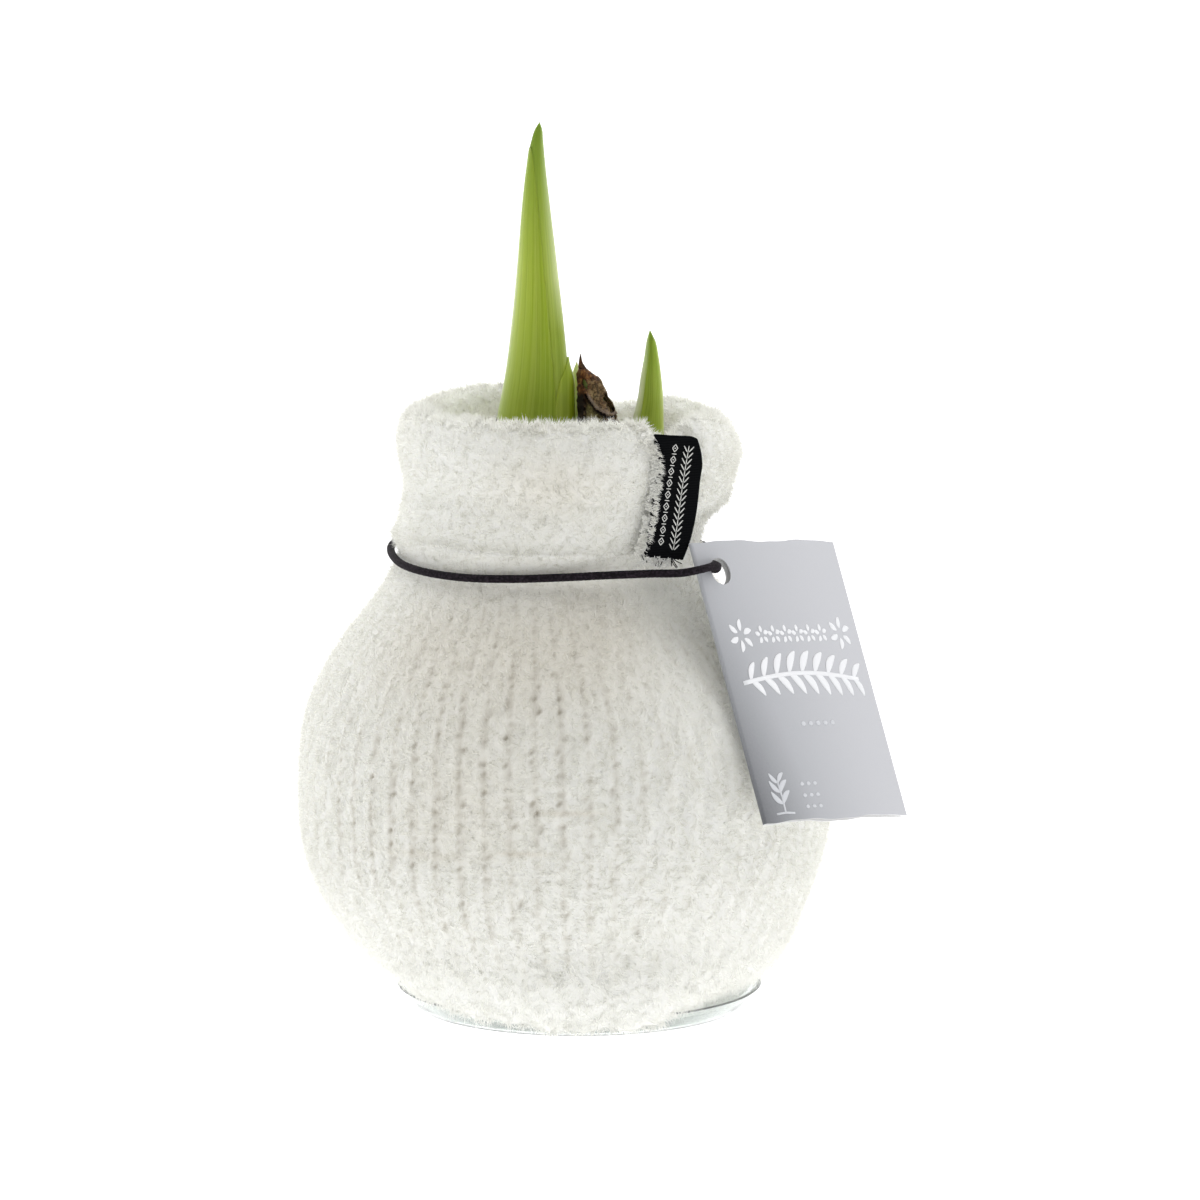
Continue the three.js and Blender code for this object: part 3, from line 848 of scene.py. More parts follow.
def pile(name, rng, groups, width, yarn):
    """One piece of pile: each strand is a copy of one three-sided spike."""
    parts = [np.concatenate([g[i] for g in groups]) for i in range(6)]
    root, way, length = parts[:3]
    keep = clear_of_card(root + way * length[:, None])
    keep &= clear_of_card(root + way * length[:, None] * 0.6)
    for share in (0.35, 0.7, 1.0):
        keep &= clear_of_cord(root + way * length[:, None] * share)
        keep &= clear_of_dish(root + way * length[:, None] * share)
    root, way, length, shade, tone, warm = (a[keep] for a in parts)
    spike, sides = one_spike()
    count = len(root)
    helper = unit(rng.normal(size=(count, 3)))
    across = unit(np.cross(way, helper))
    third = np.cross(way, across)
    half = width * rng.uniform(0.75, 1.25, count) / 2
    verts = (root[:, None] + across[:, None] * (spike[None, :, :1] * half[:, None, None])
             + third[:, None] * (spike[None, :, 1:2] * half[:, None, None])
             + way[:, None] * (spike[None, :, 2:] * length[:, None, None]))
    faces = sides[None] + (np.arange(count) * len(spike))[:, None, None]
    mesh = bpy.data.meshes.new(name)
    mesh.from_pydata(verts.reshape(-1, 3) * MM, [], faces.reshape(-1, 3))
    # The strands carry the stitch holes' painted shade, so those rooted in a hole are coloured greyer.
    for key, values in (("tone", tone), ("hole_shade", shade), ("warm", warm)):
        layer = mesh.attributes.new(key, "FLOAT", "POINT")
        layer.data.foreach_set("value", np.repeat(values, len(spike)).astype(np.float32))
    return finished(name, mesh, yarn, smooth_faces=False)


PILE_WIDTH, TUFT_WIDTH = 0.16, 0.19
HOLE_CLEAR = 0.46
TUFT_TONE = 0.65
BELLY_PIECES, BELLY_TUFTS = 3, 13600
CUFF_TUFTS = 13000
CREST_TUFTS, HEM_TUFTS = 330, 420
BELLY_SEED, CUFF_SEED, TUFT_SEED = 100, 200, 300
FRINGE = {"tufts": 760, "least": 0.25, "low": 38.8, "high": 52, "crowding": 2.2}

# Strands in a tuft, their length, the tuft's lean, how far its strands splay and how far apart their
# roots are, and its drift round and up.
BELLY_YARN = {"number": 3, "length": 1.6, "lean": 0.75, "splay": 0.42, "spread": 0.45,
              "drift": (0, -0.1)}
CUFF_YARN = {"number": 3, "length": 1.7, "lean": 0.72, "splay": 0.42, "spread": 0.45}
NEAR_CREST_YARN = {"number": 9, "length": 2.1, "lean": 0.42, "splay": 0.2, "spread": 0.32}
FAR_CREST_YARN = {"number": 6, "length": 1.6, "lean": 0.5, "splay": 0.33, "spread": 0.45}
HEM_YARN = {"number": 8, "length": 2.2, "lean": 0.6, "splay": 0.35, "spread": 0.6,
            "drift": (0, -1.3)}
FRINGE_YARN = {"number": 5, "length": 2.2, "lean": 0.5, "splay": 0.33, "spread": 0.4,
               "drift": (0, -0.7)}


def foot_fringe(rng):
    """Loose tufts round the foot, thickest where it hangs over the dish's rim."""
    turn = rng.uniform(-math.pi, math.pi, FRINGE["tufts"] * 3)
    around = np.array(SAG_ROUND)
    share = np.clip(smooth(around[:, 0], around[:, 1], np.degrees(turn)), 0, 1)
    turn = turn[rng.random(len(turn)) < FRINGE["least"] + (1 - FRINGE["least"]) * share]
    up = rng.random(len(turn)) ** FRINGE["crowding"]
    run = FRINGE["low"] + (FRINGE["high"] - FRINGE["low"]) * up
    return strands(rng, turn, run, **FRINGE_YARN)


def label_left(y):
    """How far the label's sewn edge slants out to the left at its top."""
    return -LABEL["corner"] * smoothstep(-6.0, 0.3, y)


def label_lap(y):
    """How far the cuff's tufts lap over the label's sewn edge."""
    return 1.2 * np.sin(np.clip(-y / LABEL["length"], 0, 1) * math.pi) ** 0.7


def label_sway(x, y):
    """How far the label's cloth stands off in its gentle waves."""
    return 0.16 * np.sin(0.28 * y + 0.5) + 0.1 * np.sin(0.9 * x)


LAP = {"tufts": 300, "strands": 6, "past_end": 0.4, "back": (0.2, 2.2), "length": (0.9, 1.5)}


def label_tufts(rng):
    """Tufts of the cuff that lap over the label's sewn edge, furthest at its middle."""
    count, number = LAP["tufts"], LAP["strands"]
    y = -rng.uniform(-LAP["past_end"], LABEL["length"] + LAP["past_end"], count)
    left = label_left(y)
    x = left + label_lap(y) - rng.uniform(*LAP["back"], count)
    on_cloth = smoothstep(left - 0.7, left + 0.1, x)
    low = 0.25 + 0.18 * np.minimum(x, 0)
    cloth_face = LABEL["gap"] + 0.1 + label_sway(x, y)
    local = np.c_[x, y, low + (cloth_face - low) * on_cloth]
    heart = np.c_[rng.uniform(0.3, 1.1, count), rng.normal(-0.15, 0.55, count),
                  rng.uniform(0.25, 0.8, count)]
    local, heart = np.repeat(local, number, axis=0), np.repeat(heart, number, axis=0)
    total = count * number
    turn = np.array(LABEL_PLACE.to_3x3())
    root = (local + rng.normal(0, 0.15, (total, 3))) @ turn.T + np.array(LABEL_PLACE.translation)
    way = unit(heart + rng.normal(0, 0.13, (total, 3))) @ turn.T
    plain = np.zeros(total)
    # Painted light: these tufts' tone is kept light, against the shade beside the label.
    return root, way, rng.uniform(*LAP["length"], total), plain, 0.4 * rng.random(total), plain


def cover_pile(yarn):
    """All the pile, in pieces small enough to carry."""
    pieces = []
    for i in range(BELLY_PIECES):
        rng = np.random.default_rng(BELLY_SEED + i)
        turn, run = even_places(rng, BELLY_TUFTS, PILE_RUN, HEM_RUN - 1)
        tufts = strands(rng, turn, run, **BELLY_YARN)
        pieces.append(pile(f"cover_pile_belly_{i + 1}", rng, [tufts], PILE_WIDTH, yarn))
    rng = np.random.default_rng(CUFF_SEED)
    turn, run = even_places(rng, CUFF_TUFTS, HEM_RUN - 1, LINING_RUN + 7)
    cuff = strands(rng, turn, run, **CUFF_YARN)
    pieces.append(pile("cover_pile_cuff", rng, [cuff], PILE_WIDTH, yarn))
    rng = np.random.default_rng(TUFT_SEED)
    turn = rng.uniform(-math.pi, 0, CREST_TUFTS)
    run = CREST_RUN + rng.normal(-0.4, 1.6, CREST_TUFTS)
    near_crest = strands(rng, turn, run, **NEAR_CREST_YARN)
    turn = rng.uniform(0, math.pi, CREST_TUFTS)
    run = CREST_RUN + rng.normal(0, 1.8, CREST_TUFTS)
    far_crest = strands(rng, turn, run, **FAR_CREST_YARN)
    turn = rng.uniform(-math.pi, math.pi, HEM_TUFTS)
    turn = turn[in_front(turn) < rng.random(HEM_TUFTS)]
    hem = strands(rng, turn, HEM_RUN + rng.uniform(-1.2, 1.8, len(turn)), **HEM_YARN)
    groups = [near_crest, far_crest, hem, foot_fringe(rng), label_tufts(rng)]
    pieces.append(pile("cover_tufts", rng, groups, TUFT_WIDTH, yarn))
    return pieces


# Height, in metres, under which the yarn's grey patches fade out: painted light from the glowing floor
# on the foot.
FLOOR_LIT_FOOT = 0.045


def yarn_finish():
    """White strands, greyer in the stitch holes as painted shade, in soft clumps and patches and over
    the bulb; the patches fade out near the floor as painted light from its glow.
    """
    finish = Finish("soft white yarn", Roughness=0.85, Specular_IOR_Level=0.15)
    finish.soften(0.45, 0.0009)
    finish.shader.inputs["Sheen Weight"].default_value = 0.12
    finish.shader.inputs["Sheen Roughness"].default_value = 0.6
    patches = finish.ramp(finish.noise(95, 3), [(0.4, 0.0), (0.72, 1.0)])
    split = finish.add("ShaderNodeSeparateXYZ")
    finish.join(finish.place, split.inputs[0])
    # Painted light: the patches fade out towards the floor, so the foot stays plain white.
    foot_height = finish.maths("MULTIPLY", split.outputs["Z"], 1 / FLOOR_LIT_FOOT, clamp=True)
    patches = finish.maths("MULTIPLY", patches, finish.maths("POWER", foot_height, 2.0))
    tone = finish.attribute("tone")
    light = finish.mix(tone, linear(254, 254, 249), linear(235, 235, 227))
    colour = finish.mix(finish.maths("MULTIPLY", patches, 0.5), light, linear(239, 237, 228))
    # Painted shade: strands that reach into a stitch hole are mixed towards grey.
    shade = finish.maths("MULTIPLY", finish.attribute("hole_shade"), 1.3, clamp=True)
    colour = finish.mix(shade, colour, linear(205, 201, 188))
    colour = finish.mix(finish.attribute("warm"), colour, linear(232, 226, 216))
    clumps = finish.ramp(finish.noise(520, 2, 0.6), [(0.42, 0.0), (0.62, 1.0)])
    clumps = finish.maths("MULTIPLY", clumps, finish.maths("MULTIPLY_ADD", tone, 0.5, 0.1))
    finish.colour(finish.mix(clumps, colour, linear(225, 224, 214), "MULTIPLY"))
    return finish.material


def knit_finish():
    """The ground of the knit, seen between the strands: painted shade colours it yellowish grey in its
    holes.
    """
    finish = Finish("knit ground", Roughness=0.95, Specular_IOR_Level=0.1)
    finish.soften(0.45, 0.0012)
    hole_shade = finish.attribute("hole_shade")
    ground = finish.mix(finish.noise(180, 3), linear(244, 244, 238), linear(251, 251, 247))
    ground = finish.mix(finish.attribute("warm"), ground, linear(225, 217, 200))
    # Painted shade: the ground is mixed towards yellowish grey in the stitch holes.
    finish.colour(finish.mix(hole_shade, ground, linear(170, 162, 144)))
    finish.bump(finish.noise(1900, 3, 0.7), 0.0003, 0.8)
    return finish.material


# ---- Leaves ----

TALL_SHOOT = [
    [102, -9.1, 0, 7.8, 5], [117.3, -8.9, 0, 7.3, 4.7], [126, -8.3, 0.1, 6.3, 4.1],
    [137, -8.1, 0.3, 5.1, 3.4], [148.5, -8.2, 0.5, 3.9, 2.7], [160, -8.4, 0.6, 2.75, 2],
    [166.5, -8.4, 0.6, 2, 1.5], [172, -8.2, 0.5, 1.3, 1], [174.5, -7.9, 0.5, 0.75, 0.6],
    [175.9, -7.7, 0.5, 0, 0],
]
TALL_PARTING = {"place": (-4.2, -3.9, 117), "turn": 35, "lean": -2.3}
SIDE_LEAF = [
    [102, -0.2, 5.9, 2.2, 0.8], [116, -0.1, 5.7, 2, 0.8], [122, -0.3, 5.4, 1.5, 0.7],
    [126, -0.5, 5.1, 0.8, 0.5], [128.2, -0.5, 4.9, 0, 0],
]
BUD = [
    [102, 3.7, 0, 2.7, 2.3], [111, 3.7, 0, 2.7, 2.3], [117, 3.7, 0, 2.7, 2.2],
    [120, 3.15, 0, 2.15, 1.9], [122.6, 2.45, 0, 1.65, 1.4], [124.4, 1.8, -0.1, 1.15, 0.95],
    [125.9, 1.3, -0.1, 0.45, 0.4], [126.5, 1.1, 0, 0, 0],
]
SHORT_SHOOT = [
    [102, 13.2, 0, 3.4, 2.6], [112, 13.4, 0, 3.3, 2.5], [117.5, 13.6, 0, 3.05, 2.3],
    [121.5, 14, 0, 2.55, 2], [125.5, 14.1, 0, 2.1, 1.7], [129.6, 14.2, 0, 1.45, 1.2],
    [132.9, 14.1, 0, 0.85, 0.7], [135.1, 13.9, 0, 0, 0],
]
SHORT_PARTING = {"place": (12, -2, 117), "turn": 145, "lean": -4.2}
PARTING_GAP = 0.02


def grown(rows, sides=72, rings=60, swell=0.0):
    """A pointed column through rows of [height, x, y, half width, half depth], with its place
    across, -1 to 1, and its share of the height kept on its points."""
    table = np.array(rows, float)
    low, high = table[0, 0], table[-1, 0]
    share = 1 - (1 - np.linspace(0, 1, rings, endpoint=False)) ** 1.3
    outline = [[0, low]] + [[1, low + (high - low) * s] for s in share] + [[0, high]]
    bm = spun(outline, sides)
    across = bm.verts.layers.float.new("across")
    height = bm.verts.layers.float.new("height")
    for vert in bm.verts:
        x, y, wide, deep = smooth(table[:, 0], table[:, 1:], vert.co.z)
        vert[across] = vert.co.x
        vert[height] = (vert.co.z - low) / (high - low)
        vert.co.x = x + vert.co.x * (max(wide, 0) + swell)
        vert.co.y = y + vert.co.y * (max(deep, 0) + swell)
    return bm


def cut_at(bm, parting, far_side):
    """Keeps one side of a shoot's slanting parting and closes the cut."""
    turn = (Matrix.Rotation(math.radians(parting["turn"]), 3, "Z")
            @ Matrix.Rotation(math.radians(parting["lean"]), 3, "Y"))
    outward = turn @ Vector((1, 0, 0))
    place = Vector(parting["place"]) + outward * (PARTING_GAP if far_side else -PARTING_GAP)
    cut = bmesh.ops.bisect_plane(bm, geom=bm.verts[:] + bm.edges[:] + bm.faces[:], dist=1e-5,
                                 plane_co=place, plane_no=outward, clear_inner=far_side,
                                 clear_outer=not far_side)
    rim = [e for e in cut["geom_cut"] if isinstance(e, bmesh.types.BMEdge)]
    bmesh.ops.edgeloop_fill(bm, edges=rim)
    return bm


PLAIN_GREEN = linear(150, 170, 40)
TALL_TIP = linear(190, 207, 156)


def leaf_finish(name, stops, foot, tip=linear(202, 215, 168), no_sheen_below=0.0):
    """Leaf green: stops give its colour from its left edge to its right, where the shoots' pale edges
    are painted sheen, foot and tip shade its ends, and the last argument is the share of the height
    under which that painted sheen edge is green too."""
    finish = Finish(name, Roughness=0.36, IOR=1.42)
    finish.soften(0.18, 0.0012, (1.0, 1.6, 0.4))
    across, height = finish.attribute("across"), finish.attribute("height")
    drift = finish.maths("MULTIPLY", finish.noise(30, 2), 0.12)
    place = finish.maths("MULTIPLY_ADD", across, 0.5, 0.44)
    colour = finish.ramp(finish.maths("ADD", place, drift), stops)
    # Below that share, the painted sheen at the edges gives way to plain green.
    plain = finish.ramp(height, [(max(no_sheen_below - 0.12, 0), 1.0), (no_sheen_below + 0.02, 0.0)])
    colour = finish.mix(plain, colour, PLAIN_GREEN)
    grain = finish.along(finish.maths("MULTIPLY", across, 13.0),
                         finish.maths("MULTIPLY", height, 1.1), 0.0)
    streaks = finish.noise(1.0, 5, 0.7, grain)
    light = finish.ramp(streaks, [(0.42, 0.0), (0.72, 1.0)])
    colour = finish.mix(finish.maths("MULTIPLY", light, 0.6), colour, linear(188, 206, 92))
    dark = finish.ramp(streaks, [(0.3, 1.0), (0.5, 0.0)])
    colour = finish.mix(finish.maths("MULTIPLY", dark, 0.7), colour, linear(200, 214, 160), "MULTIPLY")
    low = finish.ramp(height, [(0.1, 1.0), (0.62, 0.0)])
    colour = finish.mix(finish.maths("MULTIPLY", low, 0.75), colour, foot, "MULTIPLY")
    high = finish.ramp(height, [(0.6, 0.0), (1.0, 1.0)])
    colour = finish.mix(high, colour, tip, "MULTIPLY")
    finish.colour(colour)
    finish.bump(streaks, 0.00016, 0.8)
    return finish.material


def tall_shoot():
    """The tall shoot's front and back leaves; gives the front one's green to the collar leaf."""
    # The pale stops at both edges are painted sheen, where light grazes the leaf's edges.
    near = leaf_finish("tall leaf green", [
        (0.0, linear(214, 224, 172)), (0.05, linear(194, 210, 112)), (0.16, linear(174, 192, 70)),
        (0.36, linear(162, 182, 40)), (0.46, linear(160, 178, 50)), (0.62, linear(150, 172, 18)),
        (0.78, linear(150, 172, 12)), (0.9, linear(168, 192, 34)), (1.0, linear(196, 214, 104)),
    ], linear(222, 230, 196), TALL_TIP)
    # The pale stops towards the right are painted sheen: the white surround reflected where this side
    # turns away.
    far = leaf_finish("tall leaf back with painted sheen", [
        (0.0, linear(152, 174, 34)), (0.7, linear(156, 176, 52)), (0.84, linear(186, 202, 112)),
        (0.94, linear(206, 218, 156)), (1.0, linear(216, 224, 178)),
    ], linear(216, 224, 176), TALL_TIP, no_sheen_below=0.56)
    bm = cut_at(grown(TALL_SHOOT), TALL_PARTING, False)
    finished("tall_leaf_front", as_mesh(bm), near, ["tall_shoot_near_leaf"])
    bm = cut_at(grown(TALL_SHOOT, swell=-0.12), TALL_PARTING, True)
    finished("tall_leaf_back", as_mesh(bm), far, ["tall_shoot_far_leaf"])
    return near


def short_shoot():
    """The short shoot's front leaf and the paler sheath behind it."""
    # The pale stops at the right edge are painted sheen, where light grazes the leaf's edge.
    near = leaf_finish("short leaf green", [
        (0.0, linear(170, 192, 84)), (0.3, linear(150, 174, 34)), (0.5, linear(138, 162, 18)),
        (0.62, linear(158, 180, 50)), (0.8, linear(162, 188, 52)), (0.92, linear(190, 208, 98)),
        (1.0, linear(206, 220, 140)),
    ], linear(224, 230, 200))
    # The pale stops at the left edge are painted sheen, where light grazes the sheath's edge.
    far = leaf_finish("short leaf sheath with painted sheen", [
        (0.0, linear(240, 244, 220)), (0.14, linear(222, 232, 184)), (0.28, linear(176, 198, 98)),
        (0.44, linear(148, 172, 36)),
    ], linear(214, 220, 176), no_sheen_below=0.5)
    bm = cut_at(grown(SHORT_SHOOT), SHORT_PARTING, False)
    finished("short_leaf_front", as_mesh(bm), near, ["short_shoot_near_leaf"])
    bm = cut_at(grown(SHORT_SHOOT, swell=-0.06), SHORT_PARTING, True)
    finished("short_leaf_back", as_mesh(bm), far, ["short_shoot_far_leaf"])


COLLAR = [  # [height, half its turn round the shoot in degrees, how far it stands out]
    [103, 56, 0.6], [117, 56, 0.8], [122, 52, 0.9], [125, 44, 0.95], [126.4, 35, 0.8],
    [127.6, 24, 0.5], [128.8, 11, 0.3], [129.6, 0, 0.25],
]
COLLAR_THICKNESS = 0.3
SHOOT_FOOT, SHOOT_HEIGHT = 102, 73.2


def collar_leaf(green):
    """The short leaf that clasps the tall shoot's right foot and thins out to its tip."""
    shoot, collar = np.array(TALL_SHOOT), np.array(COLLAR)

    def place(a, b):
        height = collar[0, 0] + (collar[-1, 0] - collar[0, 0]) * b
        half_turn, out = smooth(collar[:, 0], collar[:, 1:], height)
        turn = math.radians(half_turn) * a
        x, y, wide, deep = smooth(shoot[:, 0], shoot[:, 1:], height)
        out = 0.05 + (out - 0.05) * (1 - a * a) ** 1.5
        return Vector((x + (wide + out) * math.cos(turn), y + (deep + out) * math.sin(turn),
                       height))

    bm = sheet_grid(24, 60, place)
    across = bm.verts.layers.float.new("across")
    height = bm.verts.layers.float.new("height")
    for vert in bm.verts:
        vert[across] = -0.2 + 0.5 * (vert.co.x + 4.7) / 4
        vert[height] = (vert.co.z - SHOOT_FOOT) / SHOOT_HEIGHT
    thickened(bm, COLLAR_THICKNESS)
    finished("tall_leaf_collar", as_mesh(bm), green, ["tall_shoot_collar_leaf"])


def small_leaves():
    """The pale leaf tip beside the tall shoot, and the bud inside the dry scale."""
    pale = leaf_finish("pale leaf tip", [
        (0.0, linear(246, 250, 214)), (0.5, linear(240, 246, 200)), (1.0, linear(246, 250, 214)),
    ], linear(226, 230, 196), linear(255, 255, 250))
    finished("side_leaf_tip", as_mesh(grown(SIDE_LEAF, 40, 36)), pale, ["side_leaf"])
    bud = leaf_finish("bud green", [
        (0.0, linear(190, 204, 120)), (0.45, linear(214, 224, 160)), (1.0, linear(176, 198, 84)),
    ], linear(224, 218, 190))
    finished("flower_bud", as_mesh(grown(BUD, 48, 40)), bud, ["bud"])


# ---- Dry scale and flakes ----

DRY_SCALE = [
    [102, 3.7, 0, 3.9, 3.6], [111, 3.7, 0, 3.9, 3.6], [117.7, 3.65, 0, 3.9, 3.5],
    [120.5, 3, 0, 3.25, 3.1], [122.8, 2.45, 0, 2.8, 2.6], [124.8, 1.95, 0, 2.3, 2],
    [126.3, 1.1, 0, 1.5, 1.3], [127.4, 0.65, 0, 0.7, 0.7], [129.6, 0.3, 0, 0, 0],
]
SPIKE = [
    [126.4, 1.0, 0, 0.9, 0.8], [127.4, 0.6, 0, 0.78, 0.65], [128.4, 0.32, 0, 0.42, 0.35],
    [129.5, 0.26, 0, 0.2, 0.16], [130.4, 0.3, 0, 0, 0],
]
FLAP_EDGE = [
    [0.9, 123.0], [1.6, 122.0], [2.3, 121.1], [3.0, 120.1], [3.8, 119.3], [4.8, 118.7], [6.4, 118.3],
]
WINDOW = {"x": 1.1, "z": 124.4, "half_width": 0.5, "half_height": 1.15, "slant": -0.3}
FLAP = {"from": 0.85, "lift_from": 0.9, "below": 124, "lift": 0.6, "fade": 1.1,
        "way": (0.25, -1, -0.1)}
SKIN_GAP, OUTER_TOP, INNER_TOP, SCALE_FOOT = 0.62, 127.3, 125.6, 102.2
OUTER_WALL, INNER_WALL = 0.22, 0.2
SLIT = {"from": 4.3, "y": -0.9, "half_depth": 1.2, "low": 118.8, "top": 122.2}


def flap_edge(x):
    """The height at which the outer skin is torn off at x."""
    edge = np.array(FLAP_EDGE)
    return float(smooth(edge[:, 0], edge[:, 1], min(max(x, edge[0, 0]), edge[-1, 0])))


def in_window(point, ragged):
    """True in the small window torn in the front, near the tip."""
    x, y, z = point
    up = z - WINDOW["z"]
    beside = (x - WINDOW["x"] - WINDOW["slant"] * up + ragged * 0.4) / WINDOW["half_width"]
    return y < 0 and beside ** 2 + (up / WINDOW["half_height"]) ** 2 < 1


def in_slit(point, ragged):
    """True in the slit torn down the right side."""
    x, y, z = point
    beside = abs(y - SLIT["y"] + ragged) < SLIT["half_depth"]
    return x > SLIT["from"] and beside and SLIT["low"] < z < SLIT["top"]


def papery_finish():
    """Dry brown skin: mottled beige and red brown, with dark veins and scorched parts, painted shadow
    in its lower left and under its torn flap, and a painted highlight along the torn edge.
    """
    finish = Finish("dry papery skin", Roughness=0.65, Specular_IOR_Level=0.35)
    scorch_and_shade = finish.attribute("scorch_and_shade")
    warm = finish.attribute("warm")
    mottle = finish.noise(1150, 5, 0.7, distortion=0.8)
    beige = finish.ramp(mottle, [
        (0.34, linear(40, 24, 11)), (0.45, linear(100, 78, 48)), (0.55, linear(148, 119, 80)),
        (0.7, linear(200, 172, 132)),
    ])
    red = finish.ramp(mottle, [
        (0.32, linear(44, 17, 4)), (0.48, linear(106, 58, 16)), (0.7, linear(176, 130, 66)),
    ])
    skin = finish.mix(warm, beige, red)
    spots = finish.ramp(finish.cells(720), [(0.12, 0.18), (0.3, 1.0)])
    streak = finish.noise(420, 3, 0.6, finish.stretched((2.4, 2.4, 0.5)))
    veins = finish.ramp(streak, [(0.4, 0.35), (0.5, 1.0)])
    skin = finish.mix(0.8, skin, veins, "MULTIPLY")
    skin = finish.mix(0.7, skin, spots, "MULTIPLY")
    olive = finish.ramp(mottle, [
        (0.36, linear(76, 66, 34)), (0.5, linear(142, 134, 84)), (0.66, linear(196, 188, 132)),
    ])
    skin = finish.mix(finish.attribute("olive"), skin, olive)
    # Painted highlight: a pale band along the torn flap's lower edge.
    skin = finish.mix(finish.attribute("edge"), skin, linear(196, 178, 166))
    # The near black mix carries both real scorching and painted shadow.
    finish.colour(finish.mix(scorch_and_shade, skin, linear(26, 15, 8)))
    finish.bump(mottle, 0.0007, 1.0)
    return finish.material


def marked(bm, scorched=0.0, warmth=0.0, creviced=0.0, highlighted=0.0):
    """Notes on each point how dark the skin is from scorching and from painted shadow, how warm brown
    and how olive it is, and where it is pale with a painted highlight along its torn edge.
    """
    scorch_and_shade = bm.verts.layers.float.new("scorch_and_shade")
    warm = bm.verts.layers.float.new("warm")
    olive = bm.verts.layers.float.new("olive")
    edge = bm.verts.layers.float.new("edge")
    for vert in bm.verts:
        x, y, z = vert.co
        blotch = noise.noise(vert.co * 0.9)
        # Painted shadow: the lower left, with the flake there, is darkened near to black, and so is the
        # crevice under the torn flap.
        low_left_shadow = smoothstep(1.8, 0.6, x) * smoothstep(123.6, 121.6, z) * smoothstep(1.0, -0.6, y)
        below = flap_edge(x) - z
        crevice_shadow = creviced * math.exp(-((below - 0.2) / 0.7) ** 2) * smoothstep(0.4, 1.0, x)
        spike = 0.45 * smoothstep(127.0, 128.6, z)
        dark = scorched + 0.97 * low_left_shadow + spike + crevice_shadow + 0.35 * blotch
        vert[scorch_and_shade] = float(np.clip(dark, 0, 1))
        red = smoothstep(2.6, 1.0, x) * smoothstep(120, 122, z) + smoothstep(124.8, 126, z)
        vert[warm] = float(np.clip(warmth + red + 0.5 * blotch, 0, 1))
        low_middle = smoothstep(0.9, 1.8, x) * smoothstep(5.2, 4.2, x) * smoothstep(120.8, 119.6, z)
        vert[olive] = float(np.clip(creviced * low_middle + 0.3 * (0.2 - blotch) * (1 - red), 0, 1))
        # Painted highlight: a pale band along the torn flap's lower edge.
        torn = math.exp(-((below + 0.35) / 0.4) ** 2) * smoothstep(1.2, 2.2, x) * (y < 0)
        vert[edge] = float(np.clip(highlighted * torn * (0.8 + blotch), 0, 1))
    return bm


def wrinkled(bm, deep=1.0):
    """Crumples the dry scale, less towards its narrow tip."""
    before = {v: v.co.copy() for v in bm.verts}
    roughened(bm, 0.5 * deep, 0.55)
    roughened(bm, 0.26 * deep, 1.5, 7.0)
    for vert in bm.verts:
        fold = 0.15 * deep * math.sin(9 * math.atan2(vert.co.y, vert.co.x - 3) + 0.6 * vert.co.z)
        vert.co += vert.normal * fold
    for vert, place in before.items():
        vert.co = place.lerp(vert.co, float(smoothstep(128.0, 125.0, place.z)))
    return bm


def scale_layer(outer):
    """One skin of the dry scale: the outer one ends in a torn flap, the inner one shows below."""
    bm = grown(DRY_SCALE, 80, 72, 0.0 if outer else -SKIN_GAP)
    top = OUTER_TOP if outer else INNER_TOP
    doomed = []
    for face in bm.faces:
        spot = face.calc_center_median()
        ragged = 0.3 * noise.noise(spot * 1.3)
        away = in_window(spot, ragged) or in_slit(spot, ragged)
        away = away or spot.z < SCALE_FOOT or spot.z > top
        if outer and spot.y < 0 and spot.x > FLAP["from"] + ragged:
            away = away or spot.z < flap_edge(spot.x) + ragged
        if away:
            doomed.append(face)
    bmesh.ops.delete(bm, geom=doomed, context="FACES")
    if outer:
        for vert in bm.verts:
            x, y, z = vert.co
            if y < 0 and x > FLAP["lift_from"] and z < FLAP["below"]:
                lift = FLAP["lift"] * math.exp(-max(z - flap_edge(x), 0) / FLAP["fade"])
                vert.co += Vector(FLAP["way"]) * lift
    return bm


def dry_scale(papery):
    """The hood round the bud: two crumpled skins, one in the other, and a closed tip."""
    bm = wrinkled(scale_layer(True))
    # The outer skin gets a painted highlight along its torn edge.
    marked(bm, highlighted=0.8)
    thickened(bm, OUTER_WALL)
    inner = wrinkled(scale_layer(False), 0.5)
    # The inner skin gets painted shadow in the crevice under the flap's edge, and an olive lower
    # middle.
    marked(inner, scorched=0.05, warmth=0.1, creviced=1.3)
    join_in(bm, thickened(inner, INNER_WALL))
    join_in(bm, marked(grown(SPIKE, 20, 24), warmth=0.6))
    finished("dry_scale_hood", as_mesh(bm, tidy=False), papery, ["dry_scale"])


LEFT_FLAKE = [
    [102, -15.3, -4.6, 1.1, 0.4], [112, -15.6, -4.3, 1, 0.4], [116, -16, -4.1, 0.7, 0.35],
    [118.2, -16.2, -3.9, 0, 0],
]
CURL_FOOT = [
    [104, 8.9, -2.6, 0.9, 0.5], [112, 9, -2.5, 0.9, 0.5], [115.5, 8.3, -2.6, 0.9, 0.5],
    [116.8, 7.6, -3.2, 0.7, 0.4], [117.6, 7.2, -3.6, 0, 0],
]
CURL = {"centre": (6.6, -3.9, 117.3), "radius": 0.6, "turns": 1.7, "start": 2.4, "length": 2.2}


